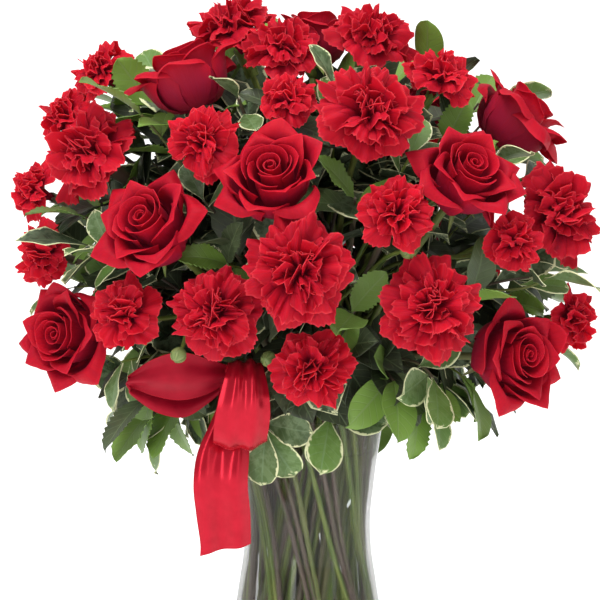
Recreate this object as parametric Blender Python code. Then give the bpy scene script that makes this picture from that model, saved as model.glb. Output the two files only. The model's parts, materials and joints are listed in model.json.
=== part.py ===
"""Roses and carnations in a clear glass vase, with variegated foliage and a satin bow.

Metres, +Z up. The origin is the centre of the vase's foot, and the front of the arrangement faces -Y.
"""

import math
import random

import bmesh
import bpy
import numpy as np
from mathutils import Vector

# The vase and its water
VASE_HEIGHT = 0.216
VASE_PROFILE = (  # outer radius at each height
    (0.0505, 0.000),
    (0.0550, 0.010),
    (0.0557, 0.048),
    (0.0502, 0.088),
    (0.0464, 0.114),
    (0.0455, 0.134),
    (0.0484, 0.166),
    (0.0555, VASE_HEIGHT),
)
GLASS = 0.003
VASE_FLOOR = 0.009
WATER_LEVEL = 0.190
VASE_SIDES = 24
SEAT = 0.0003  # the gap between touching pieces

# How the stems stand in the vase: each is a straight line that leans round the waist
WAIST = 0.140
BIND = 0.228  # the height at which the stems part
FOOT = VASE_FLOOR + SEAT
OUTER_RING = 0.0295
INNER_RING = 0.0150
OUTER_LEAN = 9.0
INNER_LEAN = 6.0
SHEAF_PITCH = 0.0037  # the distance from stem to stem in a sheaf at the waist
SHEAF_LEAN = 3.0
SHEAF_HOLE_SIDES = 8
STEM_SIDES = 5
SIDE_STEM_SIDES = 4
TWIG_SIDES = 3
TWIG_STEPS = 4
FORKS = 3  # the places along a spray's main stem at which its side stems start

# The front view: a place is given as it is seen, so far across and up, and so far nearer than the vase's axis
VIEW_TILT = 8.0
VIEW_DISTANCE = 2.2
AIM_ACROSS = -0.0056
AIM_UP = 0.2965

MM = 0.001

# Each bloom: name, sheaf or spray, across, up, nearer (mm), azimuth and elevation that it faces (degrees),
# diameter (mm). Azimuth 0 faces the front, and 90 faces right.
ROSES = (
    ("rose_1", "top", -87, 459, 52, -110, 66, 79),
    ("rose_2", "left", -113, 350, 118, -32, 34, 78),
    ("rose_3", "front", -25, 384, 139, -8, 42, 78),
    ("rose_4", "right", 114, 386, 108, 28, 42, 77),
    ("rose_5", "back_right", 151, 428, 0, 100, 45, 78),
    ("rose_6", "left", -173, 271, 54, -38, 10, 78),
    ("rose_7", "right", 148, 257, 78, 44, 8, 78),
    ("rose_8", "top", 4, 486, -42, 180, 78, 66),
    ("rose_9", "back_right", 18, 425, -118, 176, 42, 76),
    ("rose_10", "back_right", 112, 345, -122, 138, 22, 76),
    ("rose_11", "back_left", -120, 352, -112, -134, 22, 76),
    ("rose_12", "back_left", 0, 272, -132, 180, 4, 76),
)
CARNATIONS = (
    ("carnation_1", "top", -53, 489, 4, -70, 66, 64),
    ("carnation_2", "front", -17, 475, 54, -10, 62, 60),
    ("carnation_3", "top", 44, 482, 22, 30, 62, 64),
    ("carnation_4", "left", -153, 400, 58, -52, 34, 74),
    ("carnation_5", "front", 44, 429, 116, 14, 40, 78),
    ("carnation_6", "front", -6, 317, 163, -2, 20, 80),
    ("carnation_7", "left", -65, 286, 136, -16, 14, 65),
    ("carnation_8", "right", 88, 290, 134, 20, 14, 76),
    ("carnation_9", "right", 176, 358, 38, 58, 24, 76),
    ("carnation_10", "back_right", 82, 430, -84, 148, 44, 70),
    ("carnation_11", "back_left", -74, 428, -96, -152, 44, 72),
    ("carnation_12", "back_left", -4, 350, -152, 180, 20, 76),
)
SMALL_CARNATIONS = (
    ("small_carnation_1", "spray_right", 95, 455, 50, 46, 54, 52),
    ("small_carnation_2", "spray_top_left", -147, 460, -12, -62, 46, 48),
    ("small_carnation_3", "spray_top_left", -172, 426, -22, -70, 34, 50),
    ("small_carnation_4", "spray_top_left", -194, 374, -4, -66, 22, 48),
    ("small_carnation_5", "spray_left", -188, 329, 26, -48, 14, 52),
    ("small_carnation_6", "spray_middle", -75, 409, 110, -20, 30, 54),
    ("small_carnation_7", "spray_middle", -15, 440, 98, -4, 50, 45),
    ("small_carnation_8", "spray_front", 64, 358, 144, 10, 26, 56),
    ("small_carnation_9", "spray_left", -130, 286, 104, -30, 14, 56),
    ("small_carnation_10", "spray_front", 3, 247, 134, 2, 0, 58),
    ("small_carnation_11", "spray_right", 147, 338, 96, 36, 20, 49),
    ("small_carnation_12", "spray_right", 187, 283, 18, 62, 6, 50),
    ("small_carnation_13", "spray_back", 78, 282, -136, 152, 4, 56),
    ("small_carnation_14", "spray_back", -78, 290, -138, -152, 4, 56),
    ("small_carnation_15", "spray_back", -142, 285, -86, -122, 4, 54),
)
# Each unopened bud: spray, across, up, nearer (mm), faces azimuth and elevation
BUDS = (
    ("spray_left", -93, 257, 128, -20, -30),
    ("spray_front", -28, 254, 124, -20, 10),
    ("spray_front", 72, 332, 140, 12, 8),
)
BUD_RADIUS = 0.0052

# Where each sheaf of stems, flower spray and leafy branch stands: azimuth in degrees, ring radius, lean
STANDS = {
    "left": (-62, OUTER_RING, OUTER_LEAN),
    "front": (0, OUTER_RING, OUTER_LEAN),
    "right": (62, OUTER_RING, OUTER_LEAN),
    "back_right": (132, OUTER_RING, OUTER_LEAN),
    "back_left": (-132, OUTER_RING, OUTER_LEAN),
    "top": (0, 0.0, 0.0),
    "spray_top_left": (-97, OUTER_RING, OUTER_LEAN),
    "spray_left": (-31, OUTER_RING, OUTER_LEAN),
    "spray_middle": (-8, INNER_RING, INNER_LEAN),
    "spray_front": (31, OUTER_RING, OUTER_LEAN),
    "spray_right": (97, OUTER_RING, OUTER_LEAN),
    "spray_back": (180, OUTER_RING, OUTER_LEAN),
    "foliage_front_left": (-70, INNER_RING, INNER_LEAN),
    "foliage_front_right": (52, INNER_RING, INNER_LEAN),
    "foliage_right": (112, INNER_RING, INNER_LEAN),
    "foliage_back": (172, INNER_RING, INNER_LEAN),
    "foliage_back_left": (-128, INNER_RING, INNER_LEAN),
}
ROSE_STEM = 0.0027
CARNATION_STEM = 0.0023
BRANCH = 0.0022
TWIG = 0.0013
SIDE_STEM = 0.0017  # a spray's stem to one of its flowers
STEM_STEPS = 4
START_PULL = 0.40  # how far a stem's ends lead its curve, as shares of its span
END_PULL = 0.34

# Each leafy twig's end: branch, across, up, nearer (mm), azimuth and elevation that it faces, leaves,
# leaf length (mm), kind
TWIGS = (
    ("foliage_front_left", -120, 430, 64, -46, 40, 3, 52, "plain"),
    ("foliage_front_left", -50, 442, 84, -16, 40, 3, 34, "edged"),
    ("foliage_front_left", -160, 356, 60, -50, 24, 3, 44, "plain"),
    ("foliage_front_left", -146, 330, 80, -40, 14, 3, 36, "edged"),
    ("foliage_front_left", -75, 368, 97, -22, 28, 3, 44, "edged"),
    ("foliage_front_left", -134, 252, 68, -56, -8, 4, 44, "edged"),
    ("foliage_front_left", -116, 226, 78, -46, -32, 3, 50, "plain"),
    ("foliage_front_left", -58, 322, 108, -14, 12, 3, 42, "plain"),
    ("foliage_front_left", -30, 204, 88, -14, -40, 4, 50, "edged"),
    ("foliage_front_right", 19, 450, 80, 4, 50, 3, 40, "edged"),
    ("foliage_front_right", 34, 370, 110, 8, 30, 3, 52, "plain"),
    ("foliage_front_right", 32, 286, 114, 8, 4, 3, 44, "plain"),
    ("foliage_front_right", 16, 212, 92, 6, -40, 4, 46, "edged"),
    ("foliage_front_right", 62, 238, 92, 24, -38, 4, 48, "plain"),
    ("foliage_front_right", 90, 240, 88, 28, -34, 4, 46, "edged"),
    ("foliage_front_right", 122, 296, 96, 34, 6, 3, 50, "plain"),
    ("foliage_front_right", 74, 400, 88, 24, 40, 3, 44, "edged"),
    ("foliage_right", 84, 462, 8, 40, 70, 3, 46, "plain"),
    ("foliage_right", 134, 394, 60, 62, 22, 3, 42, "edged"),
    ("foliage_right", 164, 388, 14, 84, 36, 3, 50, "edged"),
    ("foliage_right", 172, 312, 48, 66, 6, 3, 48, "edged"),
    ("foliage_right", 150, 300, -60, 112, 4, 3, 50, "plain"),
    ("foliage_right", 118, 258, -40, 112, -12, 4, 46, "edged"),
    ("foliage_right", 120, 400, -60, 124, 38, 3, 44, "edged"),
    ("foliage_back", 40, 380, -126, 164, 30, 3, 46, "edged"),
    ("foliage_back", 50, 224, -104, 152, -32, 4, 50, "plain"),
    ("foliage_back", -46, 224, -104, -152, -32, 4, 50, "edged"),
    ("foliage_back", 50, 310, -126, 160, 8, 3, 48, "plain"),
    ("foliage_back", -50, 320, -126, -160, 10, 3, 48, "edged"),
    ("foliage_back", -34, 468, -66, -170, 60, 3, 42, "plain"),
    ("foliage_back_left", -110, 424, -50, -122, 44, 3, 46, "edged"),
    ("foliage_back_left", -164, 330, -50, -108, 16, 3, 50, "plain"),
    ("foliage_back_left", -120, 232, -60, -118, -24, 4, 50, "edged"),
    ("foliage_back_left", -60, 390, -120, -156, 34, 3, 44, "plain"),
)
LEAF_THICKNESS = 0.0008
LEAF_ASPECT = 0.58
LEAF_FORMS = {  # for each station along the blade, how far along it lies and its share of the half width
    "plain": ((0.30, 0.86), (0.68, 0.90)),
    "edged": ((0.24, 0.50), (0.56, 1.00), (0.84, 0.82)),
}
LEAF_CUP = 0.22
LEAF_DROOP = 0.22
LEAF_FREE = 0.32  # the share of a blade near its joint that may touch other leaves
LEAF_ROOM = 0.0030
LEAF_SKIN = 0.0020
LEAF_SUNK = 0.0001
LEAF_TIP = 0.985
LEAF_SHORTER = 0.05  # how much shorter each leaf of a twig is than the one before
LEAVES_SPREAD = 0.85  # the share of a twig's last stretch along which its leaves stand
TIP_SPLAY = 12
FIRST_SPLAY = 50
SPLAY_STEP = 8
LEAST_SPLAY = 4
MOST_SPLAY = 85
GOLDEN_TURN = 137.5
TWIG_TURN = 40
TWIG_OUTWARD = 0.8  # how strongly a twig starts towards the place where it ends
BRANCH_TAPER = (0.85, 0.70)

# The rings of petals of a head, in radii: rim radius, rim height, valley radius, valley height
ROSE_RINGS = (
    (1.00, 0.74, 0.68, 0.62),
    (0.78, 0.98, 0.42, 0.78),
    (0.48, 1.14, 0.20, 0.94),
)
ROSE_PETALS = 5
ROSE_SAMPLES = 15
ROSE_BASE = 0.19
ROSE_CUP = (0.58, 0.26)
CARNATION_RINGS = (
    (1.00, 0.42, 0.68, 0.42),
    (0.84, 0.74, 0.50, 0.62),
    (0.58, 0.99, 0.26, 0.82),
    (0.28, 1.12, 0.10, 0.94),
)
CARNATION_SAMPLES = 12
SMALL_CARNATION_RINGS = (
    (1.00, 0.46, 0.62, 0.48),
    (0.74, 0.82, 0.34, 0.72),
    (0.38, 1.02, 0.12, 0.86),
)
SMALL_CARNATION_SAMPLES = 10
CARNATION_BASE = 0.16
ROSE_MIDDLE = 0.65  # how far above its base a head's middle lies, in radii
CARNATION_MIDDLE = 0.50
ROSE_RISE = 0.24  # how far the middle stands above the innermost valley, in radii
CARNATION_RISE = 0.02
RUFFLE = 0.10
ROSE_EDGE = (0.92, 1.06, 1.02)  # a rose petal's reach at its tucked edge, at its tip and at its free edge
ROSE_EDGE_LIFT = (0.05, -0.04, 0.0)
ROSE_HEART_LIFT = (0.05, 0.04, 0.0)
ROSE_STRAY = 0.03
CARNATION_EDGE = (1.06, 0.87)
CARNATION_STRAY = (-0.04, 0.02)
INNER_RUFFLE = 0.6

# The room that a head takes, in radii: spheres up its middle (height, radius), then a ring of spheres
# (ring radius, height, radius)
ROOM_RING = 16
ROSE_ROOM = (((0.30, 0.34), (0.86, 0.38)), (0.70, 0.72, 0.36))
CARNATION_ROOM = (((0.30, 0.28), (0.68, 0.38)), (0.72, 0.48, 0.36))

# A bud's rings, in bud radii: radius and height
BUD_RINGS = ((0.86, 0.5), (0.90, 1.4), (0.50, 2.0))
BUD_POINT = 2.25
BUD_SIDES = 6
BUD_SUNK = 0.0004

# The calyx under a head: distance below the head and radius, from the stem up
ROSE_CALYX = ((0.0080, 0.0036), (SEAT, 0.0064))
CARNATION_CALYX = ((0.0180, 0.0042), (SEAT, 0.0054))
SMALL_CALYX = ((0.0120, 0.0028), (SEAT, 0.0036))

# The bow: a ribbon on a wired pick that stands among the stems
PICK = "bow_pick"
PICK_STAND = (-20, 0.0215, 7.5)
PICK_RADIUS = 0.0011
KNOT = (-53, 243, 98)
RIBBON_WIDTH = 0.038
RIBBON_THICKNESS = 0.0009
# Each stretch's middle line: across, up, nearer (mm), width as a share of the ribbon's, and roll in degrees
SIDE_LOOP = (
    (-56, 243, 103, 0.30, 0),
    (-72, 241, 110, 0.66, -4),
    (-92, 241, 111, 0.92, -8),
    (-112, 240, 106, 0.70, -8),
    (-128, 238, 98, 0.26, -6),
    (-131, 236, 95, 0.22, 0),
    (-126, 233, 93, 0.30, 6),
    (-108, 232, 92, 0.85, 10),
    (-88, 231, 90, 0.95, 10),
    (-70, 236, 92, 0.65, 6),
    (-57, 241, 95, 0.30, 0),
)
FRONT_LOOP = (
    (-51, 246, 103, 0.46),
    (-45, 250, 111, 0.60),
    (-42, 242, 119, 0.74),
    (-42, 226, 123, 0.88),
    (-42, 209, 121, 0.94),
    (-43, 195, 114, 0.90),
    (-44, 196, 105, 0.88),
    (-47, 212, 100, 0.82),
    (-51, 230, 98, 0.60),
    (-53, 240, 99, 0.40),
)
TAIL = (
    (-53, 241, 94, 0.38),
    (-53, 226, 92, 0.50),
    (-56, 208, 93, 0.72),
    (-61, 186, 97, 0.96),
    (-63, 164, 98, 1.00),
    (-61, 144, 94, 1.00),
    (-59, 122, 90, 0.94),
)
TAIL_SLANT = 0.42  # how steeply the cut end rises to the right
TAIL_END_WIDER = 1.08
RIBBON_TURN = 0.12  # how far the hanging ribbon turns from facing the front
RIBBON_SHARES = (-0.45, -0.22, 0, 0.22, 0.45)  # where across its width the ribbon keeps others away
RIBBON_ROOM = 0.006
KNOT_BACK = (0, 1, -9)  # the knot's ends, as far from its middle as it is seen (mm)
KNOT_FRONT = (0, 0, 8)
KNOT_RADIUS = 0.0085
KNOT_END = 0.006
KNOT_SIDES = 8

# How pieces are joined: the solver and the distance under which points merge
WAYS_TO_JOIN = (("EXACT", 2e-6), ("MANIFOLD", 2e-6), ("EXACT", 4e-7), ("MANIFOLD", 4e-7))

# How a stem finds a clear way, and a leaf a clear place
TRIES = 120
STRAY = 0.030
STRAY_TRIES = 30  # the tries after which a stem strays by the full distance
MOST_STRAY = 1.6
LEAST_RISE = -0.6
END_STRAY = 0.6
STEM_GAP = 0.0012
RIM_ROOM = 0.004
SPHERE_STEP = 0.003
LEAF_GAP = 0.0010
LEAF_TRIES = 30
LEAF_STRAY = 6
SPLAY_STRAY = 2
LEAF_SHRINK = 0.32
LEAF_RIM_ROOM = 0.003
LEAF_VASE_ROOM = 0.002
LEAST_SQUARE = 0.2  # below this length, a direction is too short to set the other one square to it
NEAR_UPRIGHT = 0.1
SMOOTH_ANGLE = 40


def clear_scene():
    for item in list(bpy.data.objects):
        bpy.data.objects.remove(item, do_unlink=True)


def facing(azimuth, elevation):
    """The direction that something faces: azimuth 0 is the front and 90 the right."""
    turn = math.radians(azimuth)
    lift = math.radians(elevation)
    return Vector((math.sin(turn) * math.cos(lift), -math.cos(turn) * math.cos(lift), math.sin(lift)))


def place(across, up, nearer):
    """The point that the front view shows so far across and up, at a distance in front of the vase's axis."""
    tilt = math.radians(VIEW_TILT)
    look = Vector((0, math.cos(tilt), -math.sin(tilt)))
    rise = Vector((0, math.sin(tilt), math.cos(tilt)))
    aim = Vector((AIM_ACROSS, 0, AIM_UP))
    eye = aim - look * VIEW_DISTANCE
    seen = aim + Vector((across * MM - AIM_ACROSS, 0, 0)) + rise * (up * MM - AIM_UP)
    ray = seen - eye
    return eye + ray * ((-nearer * MM - eye.y) / ray.y)


def across_of(direction):
    """A direction square to the given one, level where it can be."""
    side = direction.cross(Vector((0, 0, 1)))
    if side.length < NEAR_UPRIGHT:
        side = direction.cross(Vector((0, 1, 0)))
    return side.normalized()


def material(name, colour, roughness, alpha=1.0, transmission=0.0):
    made = bpy.data.materials.new(name)
    made.use_nodes = True
    shader = made.node_tree.nodes["Principled BSDF"]
    shader.inputs["Base Color"].default_value = (*colour, 1)
    shader.inputs["Roughness"].default_value = roughness
    shader.inputs["Metallic"].default_value = 0
    shader.inputs["Alpha"].default_value = alpha
    shader.inputs["Transmission Weight"].default_value = transmission
    return made


def solid(name, points, faces, finish):
    mesh = bpy.data.meshes.new(name)
    mesh.from_pydata([tuple(point) for point in points], [], faces)
    mesh.validate()
    mesh.materials.append(finish)
    made = bpy.data.objects.new(name, mesh)
    bpy.context.scene.collection.objects.link(made)
    return made


def rings_solid(rings, bottom=None, top=None, split=True):
    """The points and faces of a closed body through rings of points, with a pole or a flat cap at each end.

    Its walls are split into triangles where they aren't flat.
    """
    count = len(rings[0])
    points = [point for ring in rings for point in ring]
    faces = []
    for level in range(len(rings) - 1):
        for side in range(count):
            after = (side + 1) % count
            lower = level * count
            upper = lower + count
            a, b = lower + side, lower + after
            c, d = upper + after, upper + side
            faces.extend(((a, b, c), (a, c, d)) if split else ((a, b, c, d),))
    last = (len(rings) - 1) * count
    if bottom is None:
        faces.append(tuple(reversed(range(count))))
    else:
        faces.extend(((side + 1) % count, side, len(points)) for side in range(count))
        points.append(bottom)
    if top is None:
        faces.append(tuple(range(last, last + count)))
    else:
        faces.extend((last + side, last + (side + 1) % count, len(points)) for side in range(count))
        points.append(top)
    return points, faces


def tube(points, radii, sides, level_foot=False, split=True):
    """A round bar along a line of points, its ring turned as little as possible from one to the next."""
    rings = []
    side = None
    for index, point in enumerate(points):
        before = points[max(index - 1, 0)]
        after = points[min(index + 1, len(points) - 1)]
        along = (after - before).normalized()
        if side is None:
            side = across_of(along)
        side = (side - along * side.dot(along)).normalized()
        other = along.cross(side)
        ring = []
        for corner in range(sides):
            angle = 2 * math.pi * corner / sides
            ring.append(point + (side * math.cos(angle) + other * math.sin(angle)) * radii[index])
        if level_foot and index == 0:
            ring = [corner + along * (point.z - corner.z) / along.z for corner in ring]
        rings.append(ring)
    return rings_solid(rings, split=split)


def turned(profile, sides):
    """A body of revolution with a flat face at each end of its profile."""
    rings = []
    for radius, height in profile:
        ring = []
        for corner in range(sides):
            angle = 2 * math.pi * corner / sides
            ring.append(Vector((radius * math.cos(angle), radius * math.sin(angle), height)))
        rings.append(ring)
    return rings_solid(rings)


def vase_radius(height):
    """The vase's outer radius at a height."""
    heights = [level for radius, level in VASE_PROFILE]
    radii = [radius for radius, level in VASE_PROFILE]
    return float(np.interp(height, heights, radii))


def build_vase(finish):
    inner = [(radius - GLASS, level) for radius, level in reversed(VASE_PROFILE) if level > VASE_FLOOR]
    floor = (vase_radius(VASE_FLOOR) - GLASS, VASE_FLOOR)
    return solid("vase", *turned([*VASE_PROFILE, *inner, floor], VASE_SIDES), finish)


def build_water(finish, bundles):
    """The water, with a plain hole for each sheaf or single stem that stands in it."""
    low = VASE_FLOOR + SEAT
    inset = GLASS + SEAT
    levels = [low, *(level for radius, level in VASE_PROFILE if low < level < WATER_LEVEL), WATER_LEVEL]
    wall = [(vase_radius(level) - inset, level) for level in levels]
    water = solid("water", *turned(wall, VASE_SIDES), finish)
    holes = []
    for middle, reach, sides in bundles:
        spread = SEAT / math.cos(math.pi / sides)
        levels = (FOOT - GLASS, WAIST, BIND) if sides == SHEAF_HOLE_SIDES else (FOOT - GLASS, BIND)
        line = [middle(level) for level in levels]
        radii = [reach(level) / math.cos(math.pi / sides) + spread for level in levels]
        holes.append(solid("hole", *tube(line, radii, sides, split=False), finish))
    join([water, *holes], "DIFFERENCE")
    return water


def largest_body(mesh, merge):
    """Keeps a mesh's largest body, without sealed hollows or loose scraps, and says whether it is closed."""
    shape = bmesh.new()
    shape.from_mesh(mesh)
    bmesh.ops.remove_doubles(shape, verts=shape.verts, dist=merge)
    bmesh.ops.dissolve_degenerate(shape, edges=shape.edges, dist=merge)
    bmesh.ops.triangulate(shape, faces=shape.faces)
    groups = []
    seen = set()
    for start in shape.verts:
        if start in seen:
            continue
        group = []
        front = [start]
        seen.add(start)
        while front:
            vertex = front.pop()
            group.append(vertex)
            for edge in vertex.link_edges:
                other = edge.other_vert(vertex)
                if other not in seen:
                    seen.add(other)
                    front.append(other)
        groups.append(group)
    groups.sort(key=len)
    scraps = [vertex for group in groups[:-1] for vertex in group]
    bmesh.ops.delete(shape, geom=scraps, context="VERTS")
    closed = all(edge.is_manifold for edge in shape.edges)
    shape.to_mesh(mesh)
    shape.free()
    return closed


def join(pieces, operation="UNION"):
    """One Boolean of the first piece with all the others, applied, with the others then removed."""
    body = pieces[0]
    others = pieces[1:]
    if others:
        group = bpy.data.collections.new(body.name + "_pieces")
        for piece in others:
            group.objects.link(piece)
        modifier = body.modifiers.new("join", "BOOLEAN")
        modifier.operation = operation
        modifier.operand_type = "COLLECTION"
        modifier.collection = group
        for solver, merge in WAYS_TO_JOIN:
            modifier.solver = solver
            seen = body.evaluated_get(bpy.context.evaluated_depsgraph_get())
            mesh = bpy.data.meshes.new_from_object(seen)
            if largest_body(mesh, merge) and len(mesh.polygons) > 0:
                break
        body.modifiers.clear()
        body.data = mesh
        for piece in others:
            bpy.data.objects.remove(piece, do_unlink=True)
        bpy.data.collections.remove(group)
    return body


class Space:
    """The room that the pieces take, as spheres, each with the name of its node."""

    def __init__(self):
        self.centres = np.zeros((0, 3))
        self.radii = np.zeros(0)
        self.owners = np.zeros(0, dtype=object)

    def add(self, owner, centres, radii):
        self.centres = np.vstack([self.centres, np.array([tuple(centre) for centre in centres])])
        self.radii = np.concatenate([self.radii, np.array(radii, dtype=float)])
        self.owners = np.concatenate([self.owners, np.array([owner] * len(radii), dtype=object)])

    def room(self, points, ignored, sizes=0.0):
        """The least gap between spheres at the points and a sphere that isn't one of the ignored nodes'."""
        kept = ~np.isin(self.owners, list(ignored))
        if not kept.any():
            return 1.0
        centres = self.centres[kept]
        gaps = np.linalg.norm(points[:, None, :] - centres[None, :, :], axis=2) - self.radii[kept][None, :]
        return float((gaps - np.reshape(sizes, (-1, 1))).min())


def head_frame(azimuth, elevation, spin):
    up = facing(azimuth, elevation)
    side = across_of(up)
    other = up.cross(side)
    turn = math.radians(spin)
    return side * math.cos(turn) + other * math.sin(turn), other * math.cos(turn) - side * math.sin(turn), up


def head_solid(name, base, frame, radius, rings, samples, foot, cup, petal, middle_rise, finish):
    """A head whose surface runs over the rim of each ring of petals and down into the valley inside it."""
    side, other, up = frame
    draw = random.Random(name)
    loops = []

    def loop(share, height, shape):
        ring = []
        for sample in range(samples):
            angle = 2 * math.pi * sample / samples
            out, lift = shape(sample)
            reach = radius * share * out
            rise = radius * (height + lift)
            ring.append(base + (side * math.cos(angle) + other * math.sin(angle)) * reach + up * rise)
        loops.append(ring)

    def plain(sample):
        return 1, 0

    loop(foot, 0, plain)
    if cup:
        loop(*cup, plain)
    for level, (rim, height, valley, depth) in enumerate(rings):
        loop(rim, height, lambda sample: petal(sample + level, level, draw))
        loop(valley, depth, plain)
    points, faces = rings_solid(loops, base, base + up * radius * (rings[-1][3] + middle_rise))
    return solid(name, points, faces, finish)


def rose_petal(sample, level, draw):
    """Three samples a petal: an edge tucked under its neighbour, a tip that rolls back and a free edge."""
    lifts = ROSE_EDGE_LIFT if level < len(ROSE_RINGS) - 1 else ROSE_HEART_LIFT
    out = ROSE_EDGE[sample % 3] + draw.uniform(-ROSE_STRAY, ROSE_STRAY)
    return out, lifts[sample % 3] + draw.uniform(-ROSE_STRAY, ROSE_STRAY)


def carnation_petal(sample, level, draw):
    """A pinked and ruffled edge: each sample stands higher and further out than its neighbours, or lower."""
    high = sample % 2
    out = CARNATION_EDGE[high] + draw.uniform(*CARNATION_STRAY)
    lift = (-RUFFLE, RUFFLE)[high] * (0.4 + 0.6 * draw.random())
    return out, lift * (INNER_RUFFLE if level else 1.0)


def head_spheres(base, up, side, other, radius, column, ring):
    """The room that a head takes: spheres up its middle and in a ring."""
    centres = [base + up * radius * height for height, size in column]
    radii = [radius * size for height, size in column]
    reach, height, size = ring
    for corner in range(ROOM_RING):
        angle = 2 * math.pi * corner / ROOM_RING
        out = (side * math.cos(angle) + other * math.sin(angle)) * radius * reach
        centres.append(base + up * radius * height + out)
        radii.append(radius * size)
    return centres, radii


def heads():
    """Every head: name, stand, base point, azimuth, elevation, radius and kind."""
    table = ((ROSES, "rose", ROSE_MIDDLE), (CARNATIONS, "carnation", CARNATION_MIDDLE),
             (SMALL_CARNATIONS, "small", CARNATION_MIDDLE))
    made = []
    for rows, kind, middle in table:
        for name, stand, across, up, nearer, azimuth, elevation, size in rows:
            radius = size * MM / 2
            base = place(across, up, nearer) - facing(azimuth, elevation) * radius * middle
            made.append((name, stand, base, azimuth, elevation, radius, kind))
    return made


def build_heads(all_heads, finishes, space):
    kinds = {
        "rose": (ROSE_RINGS, ROSE_SAMPLES, ROSE_BASE, ROSE_CUP, rose_petal, ROSE_RISE, ROSE_ROOM),
        "carnation": (CARNATION_RINGS, CARNATION_SAMPLES, CARNATION_BASE, None, carnation_petal,
                      CARNATION_RISE, CARNATION_ROOM),
        "small": (SMALL_CARNATION_RINGS, SMALL_CARNATION_SAMPLES, CARNATION_BASE, None, carnation_petal,
                  CARNATION_RISE, CARNATION_ROOM),
    }
    for name, stand, base, azimuth, elevation, radius, kind in all_heads:
        rings, samples, foot, cup, petal, rise, room = kinds[kind]
        frame = head_frame(azimuth, elevation, random.Random(name + " turn").uniform(0, 360))
        head_solid(name, base, frame, radius, rings, samples, foot, cup, petal, rise, finishes[kind])
        space.add(name, *head_spheres(base, frame[2], frame[0], frame[1], radius, *room))


def stand_line(stand, height):
    """Where a stand's straight line passes a height."""
    return lean_line(Vector((0, 0, 0)), *STANDS[stand], height)


def sheaf_ring(count):
    """The radius at the waist of a ring of stems that touch each other."""
    return SHEAF_PITCH / 2 / math.sin(math.pi / count)


def sheaf_reach(count, height):
    """How far from its middle a sheaf's stems reach at a height."""
    return math.hypot(sheaf_ring(count), math.tan(math.radians(SHEAF_LEAN)) * (height - WAIST)) + ROSE_STEM


def lean_line(middle, azimuth, ring, lean, height):
    """A line that leans round the waist at a ring's radius, and passes the bind at an azimuth."""
    drift = math.tan(math.radians(lean)) * (height - WAIST)
    at_bind = math.tan(math.radians(lean)) * (BIND - WAIST)
    start = math.radians(azimuth) - (math.atan2(at_bind, ring) if ring else 0)
    out = Vector((math.sin(start), -math.cos(start), 0))
    round_it = Vector((math.cos(start), math.sin(start), 0))
    level = middle + out * ring + round_it * (drift if ring else 0)
    return Vector((level.x, level.y, height))


def curve(start, leave, end, arrive, count):
    """Points of a smooth curve that leaves and arrives along the two given tangents."""
    made = []
    for step in range(count + 1):
        t = step / count
        s = 1 - t
        middle = (start + leave) * 3 * s * s * t + (end - arrive) * 3 * s * t * t
        made.append(start * s ** 3 + middle + end * t ** 3)
    return made


def clear_curve(name, start, leave, end, arrive, radius, space, ignored, steps, tip=()):
    """A curve that keeps clear of the other nodes, found by bending it a little more at each try."""
    draw = random.Random(name)
    span = (end - start).length
    best = None
    for attempt in range(TRIES):
        stray = STRAY * min(attempt / STRAY_TRIES, MOST_STRAY)
        bend = Vector((draw.uniform(-1, 1), draw.uniform(-1, 1), draw.uniform(LEAST_RISE, 1))) * stray
        swing = Vector((draw.uniform(-1, 1), draw.uniform(-1, 1), draw.uniform(LEAST_RISE, 1))) * stray
        first = leave * span * START_PULL + bend
        last = arrive * span * END_PULL + swing * END_STRAY
        line = curve(start, first, end, last, steps)
        reach = [radius] * len(line) + [size for point, size in tip]
        centres, sizes = stem_spheres([*line, *(point for point, size in tip)], reach)
        points = np.array([tuple(point) for point in centres])
        room = space.room(points, ignored, np.array(sizes))
        rim = np.hypot(points[:, 0], points[:, 1])
        outside = [vase_radius(z) + radius + STEM_GAP - r for (x, y, z), r in zip(points, rim)
                   if z < VASE_HEIGHT + RIM_ROOM and r > vase_radius(z) - GLASS - radius - STEM_GAP]
        if outside:
            room = min(room, -max(outside))
        if best is None or room > best[0]:
            best = (room, first, last)
        if room > STEM_GAP:
            break
    return best[1], best[2]


def stem_spheres(points, radii):
    """Spheres close together along a stem."""
    centres = []
    sizes = []
    for index in range(len(points) - 1):
        steps = max(1, int((points[index + 1] - points[index]).length / SPHERE_STEP))
        for step in range(steps):
            t = step / steps
            centres.append(points[index].lerp(points[index + 1], t))
            sizes.append(radii[index] * (1 - t) + radii[index + 1] * t)
    return centres, sizes


def flower_stem(name, node, start, leave, head, radius, space, extra):
    """A stem from a point in its bundle to the calyx under its head."""
    base, azimuth, elevation, kind = head
    up = facing(azimuth, elevation)
    calyx = {"rose": ROSE_CALYX, "carnation": CARNATION_CALYX, "small": SMALL_CALYX, "bud": ()}[kind]
    reach = calyx[0][0] if calyx else -BUD_RADIUS / 2
    end = base - up * reach
    tip = [(base - up * depth, size) for depth, size in calyx[1:]]
    own = {node, name}
    first, last = clear_curve(name + " stem", start, leave, end, up, radius, space, own, STEM_STEPS, tip)
    points = [*extra, *curve(start, first, end, last, STEM_STEPS)]
    radii = [radius] * len(points)
    if calyx:
        radii[-1] = calyx[0][1]
    for point, size in tip:
        points.append(point)
        radii.append(size)
    space.add(node, *stem_spheres(points, radii))
    return points, radii


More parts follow.
